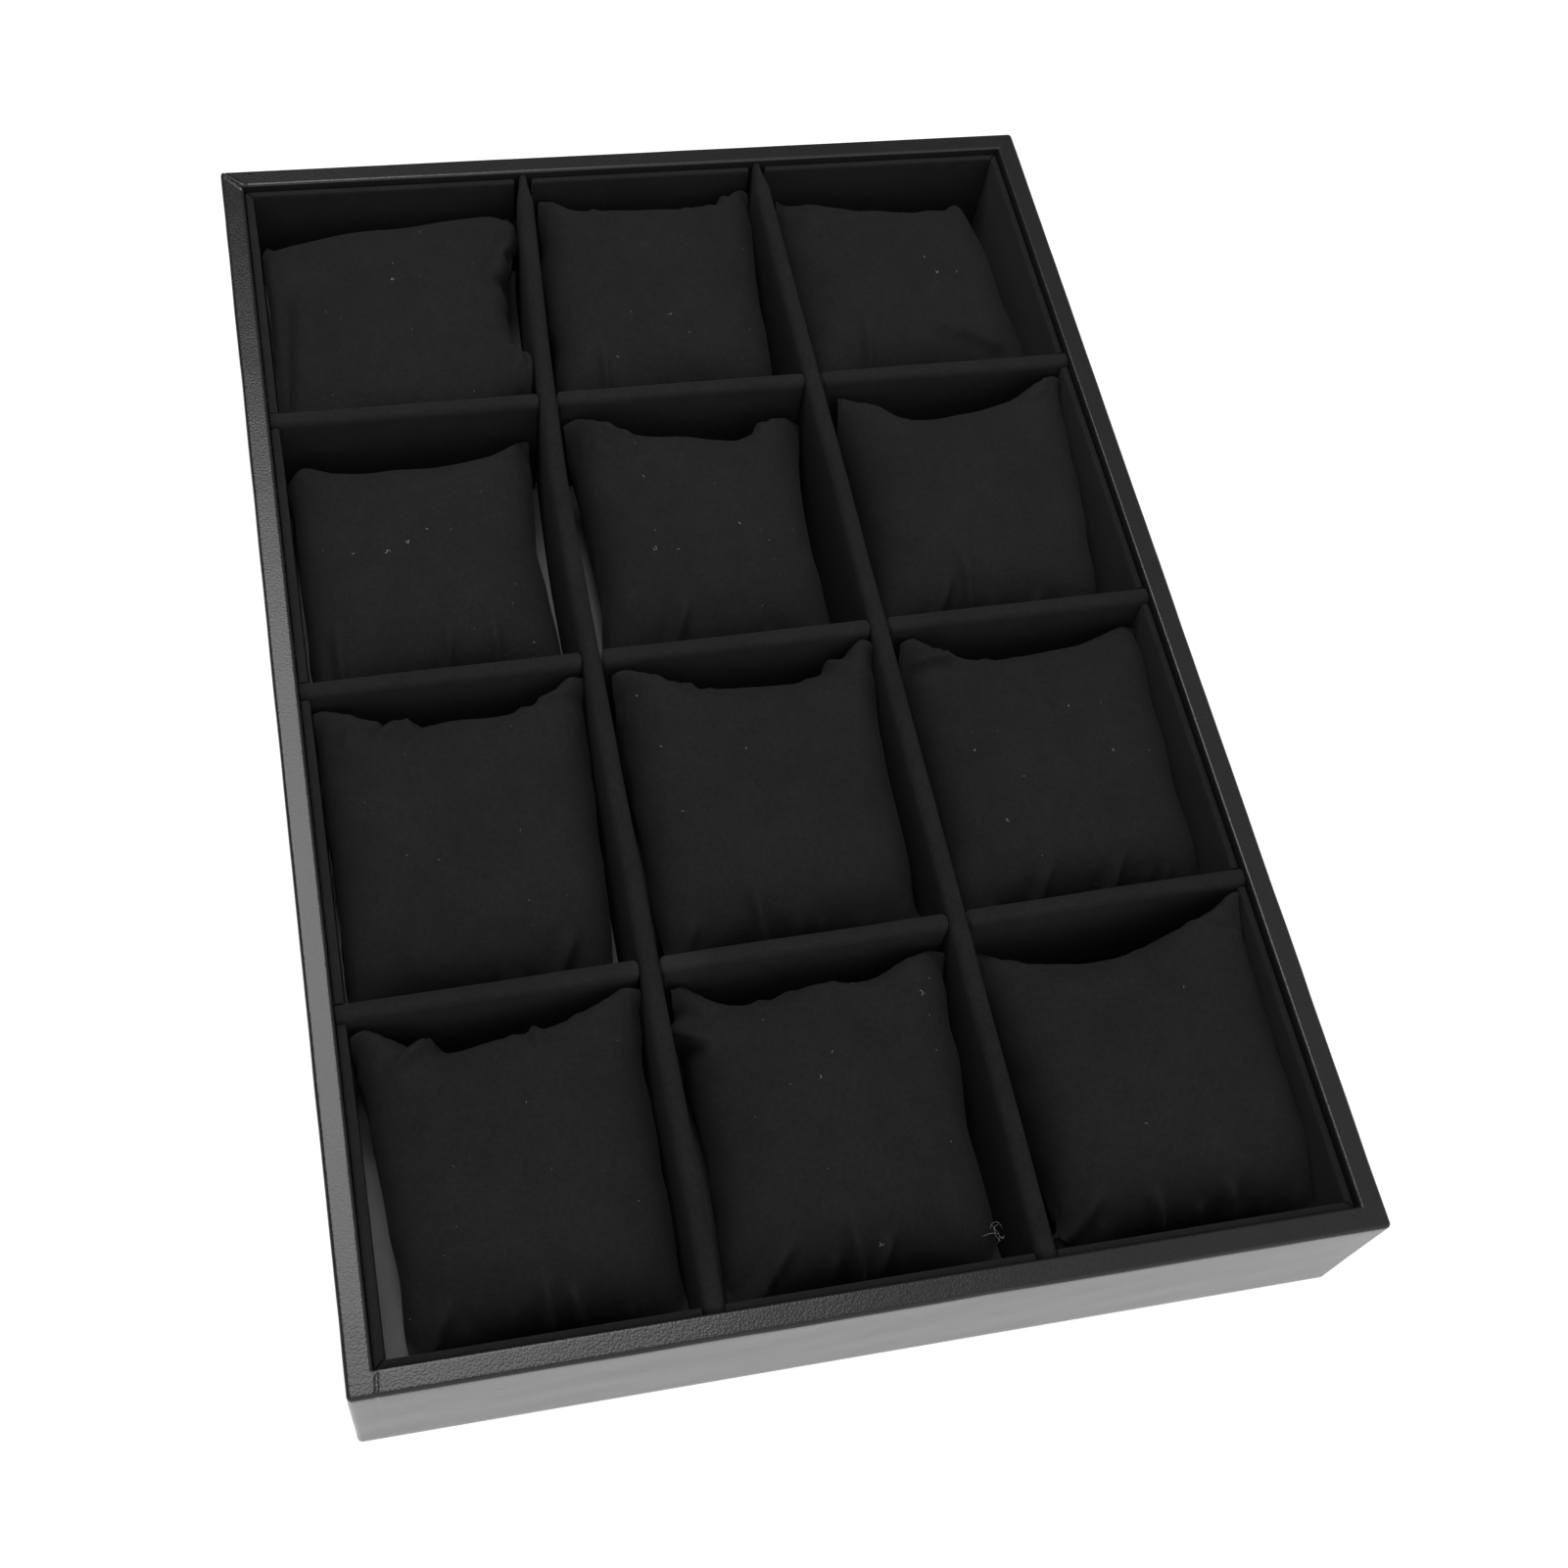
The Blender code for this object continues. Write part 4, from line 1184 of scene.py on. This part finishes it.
def fibre(path, radius, sides=5):
    """A thin closed tube along points: a ring of a few sides at each, pinched at both ends."""
    path = np.asarray(path, float)
    no_fibres_way = np.array([0.31, 0.17, 0.93])
    forward = np.gradient(path, axis=0)
    forward /= np.linalg.norm(forward, axis=1, keepdims=True)
    side = np.cross(forward, no_fibres_way)
    side /= np.linalg.norm(side, axis=1, keepdims=True)
    other = np.cross(forward, side)
    angle = np.arange(sides) * 2 * math.pi / sides
    share = np.linspace(0, 1, len(path))
    thick = radius * np.sqrt(np.clip(1 - (2 * share - 1) ** 6, 0.02, 1))
    ring = side[:, None] * np.cos(angle)[None, :, None] + other[:, None] * np.sin(angle)[None, :, None]
    points = path[:, None] + ring * thick[:, None, None]
    faces = grid_faces(len(path), sides, False, True).tolist() + end_caps(len(path), sides)
    return points.reshape(-1, 3), faces


def speck_path(place, normal, length, turn, rng):
    """A short fibre that lies on the cover: an arc that bends through the turn, lifted at one end."""
    rest_height, most_lift = 0.00006, 0.10
    side = Vector(rng.normal(size=3))
    side = (side - normal * side.dot(normal)).normalized()
    other = normal.cross(side)
    t = np.linspace(-0.5, 0.5, 9)
    radius = length / turn
    lift = rest_height + most_lift * length * (t + 0.5) ** 2 * rng.uniform(0, 1)
    forward, sideways = radius * np.sin(turn * t), radius * (0.5 - np.cos(turn * t))
    return np.array(place) + np.outer(forward, side) + np.outer(sideways, other) + np.outer(lift, normal)


def thread_tuft(camera, rng):
    """The loose sewing threads beside the front row's middle pillow.

    They are arcs of seeded start, turn and reach that curl round one place, taller than wide, and
    one long loose end that lies to the left.
    """
    tuft_spread = (0.0007, 0.0021, 0.0004)
    eye, ray = pixel_ray(*THREAD_PIXEL, camera)
    place = np.array(eye + ray * ((THREAD_HEIGHT - eye.z) / ray.z))
    t = np.linspace(0, 1, 16)[:, None]
    paths = []
    for _ in range(THREADS):
        start, turn, reach = rng.uniform(0, 2 * math.pi), rng.uniform(1.0, 2.6), rng.uniform(0.0007, 0.0019)
        angle = start + turn * t
        curl = np.hstack([0.7 * np.cos(angle), 1.2 * np.sin(angle), 0.35 * np.sin(2 * angle)]) * reach
        middle = curl.mean(axis=0) - rng.uniform(-1, 1, 3) * tuft_spread
        paths.append(place + curl - middle)
    loose_end = np.hstack([-0.0042 * t, -0.0010 + 0.0005 * np.sin(3 * t), 0.0012 * t * (1 - t) + 0.0004])
    return paths + [place + loose_end]


def add_lint(settings, pillows):
    """Lint specks on the pillows: the larger ones where the photograph has them, fine ones all over."""
    above, edge = 0.06, 0.006
    camera = bpy.context.scene.camera
    bpy.context.view_layer.update()
    trees = [BVHTree.FromObject(pillow, bpy.context.evaluated_depsgraph_get()) for pillow in pillows]
    rng = np.random.default_rng(11)
    points, faces, count = [], [], 0

    def put(path, radius):
        """Adds a fibre to the mesh."""
        nonlocal count
        more_points, more_faces = fibre(path, radius)
        points.append(more_points)
        faces.extend([[i + count for i in face] for face in more_faces])
        count += len(more_points)

    for px, py, size in LINT_PIXELS:
        eye, ray = pixel_ray(px, py, camera)
        hits = [tree.ray_cast(eye, ray) for tree in trees]
        hits = [hit for hit in hits if hit[0] is not None]
        if not hits:
            continue
        place, normal = min(hits, key=lambda hit: hit[3])[:2]
        for _ in range(1 + size // 8):
            jitter = Vector(rng.normal(size=3)) * 0.00015
            length = size * LINT_STEP * rng.uniform(0.7, 1.2)
            path = speck_path(place + jitter, normal, length, rng.uniform(1.2, 4.5), rng)
            put(path, FIBRE_RADIUS + size * LINT_STEP / 100)
    for pillow, tree in zip(pillows, trees):
        low, high = (np.array(corner) for corner in (pillow.bound_box[0], pillow.bound_box[6]))
        for _ in range(FINE_SPECKS):
            x, y = rng.uniform(low[:2] + edge, high[:2] - edge)
            place, normal = tree.ray_cast(Vector((x, y, above)), Vector((0, 0, -1)))[:2]
            if place is not None:
                path = speck_path(place, normal, rng.uniform(0.00025, 0.0007), rng.uniform(0.5, 3.0), rng)
                put(path, FIBRE_RADIUS)
    for path in thread_tuft(camera, rng):
        put(path, FIBRE_RADIUS)
    add_piece("lint", np.concatenate(points), faces, lint_material(settings))


# Stage

# The soft light above the back: its place, the point that it looks at and its two sides
KEY_PLACE = (-0.17, 0.42, 1.12)
KEY_TARGET = (0.0, 0.0, 0.03)
KEY_SIZE = (0.55, 0.78)

# The floor: half its side, how far it lies under the tray, and how strongly it glows to the camera
FLOOR_HALF_SIZE = 3.0
FLOOR_DROP = 0.0002
FLOOR_GLOW = 0.89


def add_camera():
    """The photograph's camera."""
    data = bpy.data.cameras.new("camera")
    data.lens = CAMERA_LENS
    data.sensor_width = SENSOR
    data.shift_x, data.shift_y = CAMERA_SHIFT
    data.clip_start = 0.01
    camera = bpy.data.objects.new("camera", data)
    camera.location = CAMERA_PLACE
    camera.rotation_euler = [math.radians(angle) for angle in CAMERA_TURN]
    bpy.context.scene.collection.objects.link(camera)
    bpy.context.scene.camera = camera


def add_softbox(name, place, target, size, power):
    """A rectangular lamp that looks at a point."""
    data = bpy.data.lights.new(name, "AREA")
    data.shape = "RECTANGLE"
    data.size, data.size_y = size
    data.energy = power
    lamp = bpy.data.objects.new(name, data)
    lamp.location = place
    lamp.rotation_euler = (Vector(target) - Vector(place)).to_track_quat("-Z", "Y").to_euler()
    bpy.context.scene.collection.objects.link(lamp)


def floor_material(settings):
    """Matt pale floor that also glows to the camera, in reflections and through clear things."""
    n = Nodes(bpy.data.materials.new("studio_floor"))
    n.tree.nodes.clear()
    rays = n.add("ShaderNodeLightPath").outputs
    seen = n.math("MAXIMUM", rays["Is Camera Ray"], rays["Is Glossy Ray"])
    seen = n.math("MAXIMUM", seen, rays["Is Transmission Ray"])
    glow = n.add("ShaderNodeEmission", Color=(1, 1, 1, 1), Strength=n.product(seen, FLOOR_GLOW))
    matt = n.add("ShaderNodeBsdfDiffuse", Color=(*settings.floor_colour, 1))
    both = n.add("ShaderNodeAddShader")
    n.put(both, "0", matt.outputs[0])
    n.put(both, "1", glow.outputs[0])
    n.add("ShaderNodeOutputMaterial", Surface=both.outputs[0])
    return n.owner


def add_floor(settings):
    """A pale floor just under the tray that shows white and keeps the tray's shadow."""
    size = FLOOR_HALF_SIZE
    mesh = bpy.data.meshes.new("studio_floor")
    corners = [(-size, -size, 0), (size, -size, 0), (size, size, 0), (-size, size, 0)]
    mesh.from_pydata(corners, [], [(0, 1, 2, 3)])
    mesh.materials.append(floor_material(settings))
    floor = bpy.data.objects.new("studio_floor", mesh)
    floor.location.z = -FLOOR_DROP
    bpy.context.scene.collection.objects.link(floor)


def add_light(settings):
    """Soft light from all round, stronger from the front, and one soft light above the back of the tray.

    The light from a direction is the fill strength plus the direction times the fill's lean, and not
    under nothing. The camera sees white.
    """
    n = Nodes(bpy.data.worlds.new("studio"))
    lean = n.add("ShaderNodeVectorMath", {"operation": "DOT_PRODUCT"})
    n.put(lean, "0", n.add("ShaderNodeTexCoord").outputs["Generated"])
    n.put(lean, "1", settings.fill_lean)
    fill = n.math("MAXIMUM", n.math("ADD", lean.outputs["Value"], settings.fill_strength), 0.0)
    seen = n.add("ShaderNodeMix", Factor=n.add("ShaderNodeLightPath").outputs["Is Camera Ray"])
    n.put(seen, "2", fill)
    n.put(seen, "3", 1.0)
    back = n.tree.nodes["Background"]
    n.put(back, "Color", (1, 1, 1, 1))
    n.put(back, "Strength", seen.outputs[0])
    bpy.context.scene.world = n.owner
    add_softbox("key", KEY_PLACE, KEY_TARGET, KEY_SIZE, settings.key_power)


def add_bottom(settings):
    """The sheet under the pillows and the board under the tray."""
    dress("floor_lining", floor_sheet_material(settings))
    dress("base_board", base_board_material())


# Operators


class TRAY_OT_add_camera_and_stage(bpy.types.Operator):
    """Adds the camera, the light and the floor"""

    bl_idname = "tray.add_camera_and_stage"
    bl_label = "Camera and Stage"

    def execute(self, context):
        settings = context.scene.tray_stage
        add_camera()
        add_light(settings)
        add_floor(settings)
        context.scene.view_settings.view_transform = "Standard"
        return {"FINISHED"}


class TRAY_OT_add_walls(bpy.types.Operator):
    """Adds the leatherette-covered walls"""

    bl_idname = "tray.add_walls"
    bl_label = "Walls"

    def execute(self, context):
        add_walls(context.scene.tray)
        return {"FINISHED"}


class TRAY_OT_add_bottom(bpy.types.Operator):
    """Finishes the floor sheet and the base board"""

    bl_idname = "tray.add_bottom"
    bl_label = "Bottom"

    def execute(self, context):
        add_bottom(context.scene.tray)
        return {"FINISHED"}


class TRAY_OT_add_inside(bpy.types.Operator):
    """Adds the velvet linings and dividers"""

    bl_idname = "tray.add_inside"
    bl_label = "Linings and Dividers"

    def execute(self, context):
        add_inside(context.scene.tray)
        return {"FINISHED"}


class TRAY_OT_add_pillows(bpy.types.Operator):
    """Adds the stuffed pillows and the lint on them"""

    bl_idname = "tray.add_pillows"
    bl_label = "Pillows and Lint"

    def execute(self, context):
        settings = context.scene.tray_pillows
        pillows = add_pillows(settings)
        add_lint(settings, pillows)
        return {"FINISHED"}


OPERATORS = (
    TRAY_OT_add_camera_and_stage,
    TRAY_OT_add_walls,
    TRAY_OT_add_bottom,
    TRAY_OT_add_inside,
    TRAY_OT_add_pillows,
)


class VIEW3D_PT_watch_tray(bpy.types.Panel):
    """Lists the tray's settings and steps"""

    bl_label = "Watch Tray"
    bl_space_type = "VIEW_3D"
    bl_region_type = "UI"
    bl_category = "Watch Tray"

    def draw(self, context):
        layout = self.layout
        for group in (context.scene.tray, context.scene.tray_pillows, context.scene.tray_stage):
            for key in group.__annotations__:
                layout.prop(group, key)
        for operator in OPERATORS:
            layout.operator(operator.bl_idname)


CLASSES = (TraySettings, PillowSettings, StageSettings, *OPERATORS, VIEW3D_PT_watch_tray)


def register():
    """Registers the classes, and puts the settings on the scene."""
    for cls in CLASSES:
        bpy.utils.register_class(cls)
    bpy.types.Scene.tray = PointerProperty(type=TraySettings)
    bpy.types.Scene.tray_pillows = PointerProperty(type=PillowSettings)
    bpy.types.Scene.tray_stage = PointerProperty(type=StageSettings)


def unregister():
    """Takes the settings and the classes away again."""
    del bpy.types.Scene.tray
    del bpy.types.Scene.tray_pillows
    del bpy.types.Scene.tray_stage
    for cls in reversed(CLASSES):
        bpy.utils.unregister_class(cls)


def main():
    register()
    bpy.ops.tray.add_camera_and_stage()
    bpy.ops.tray.add_walls()
    bpy.ops.tray.add_bottom()
    bpy.ops.tray.add_inside()
    bpy.ops.tray.add_pillows()


if __name__ == "__main__":
    main()
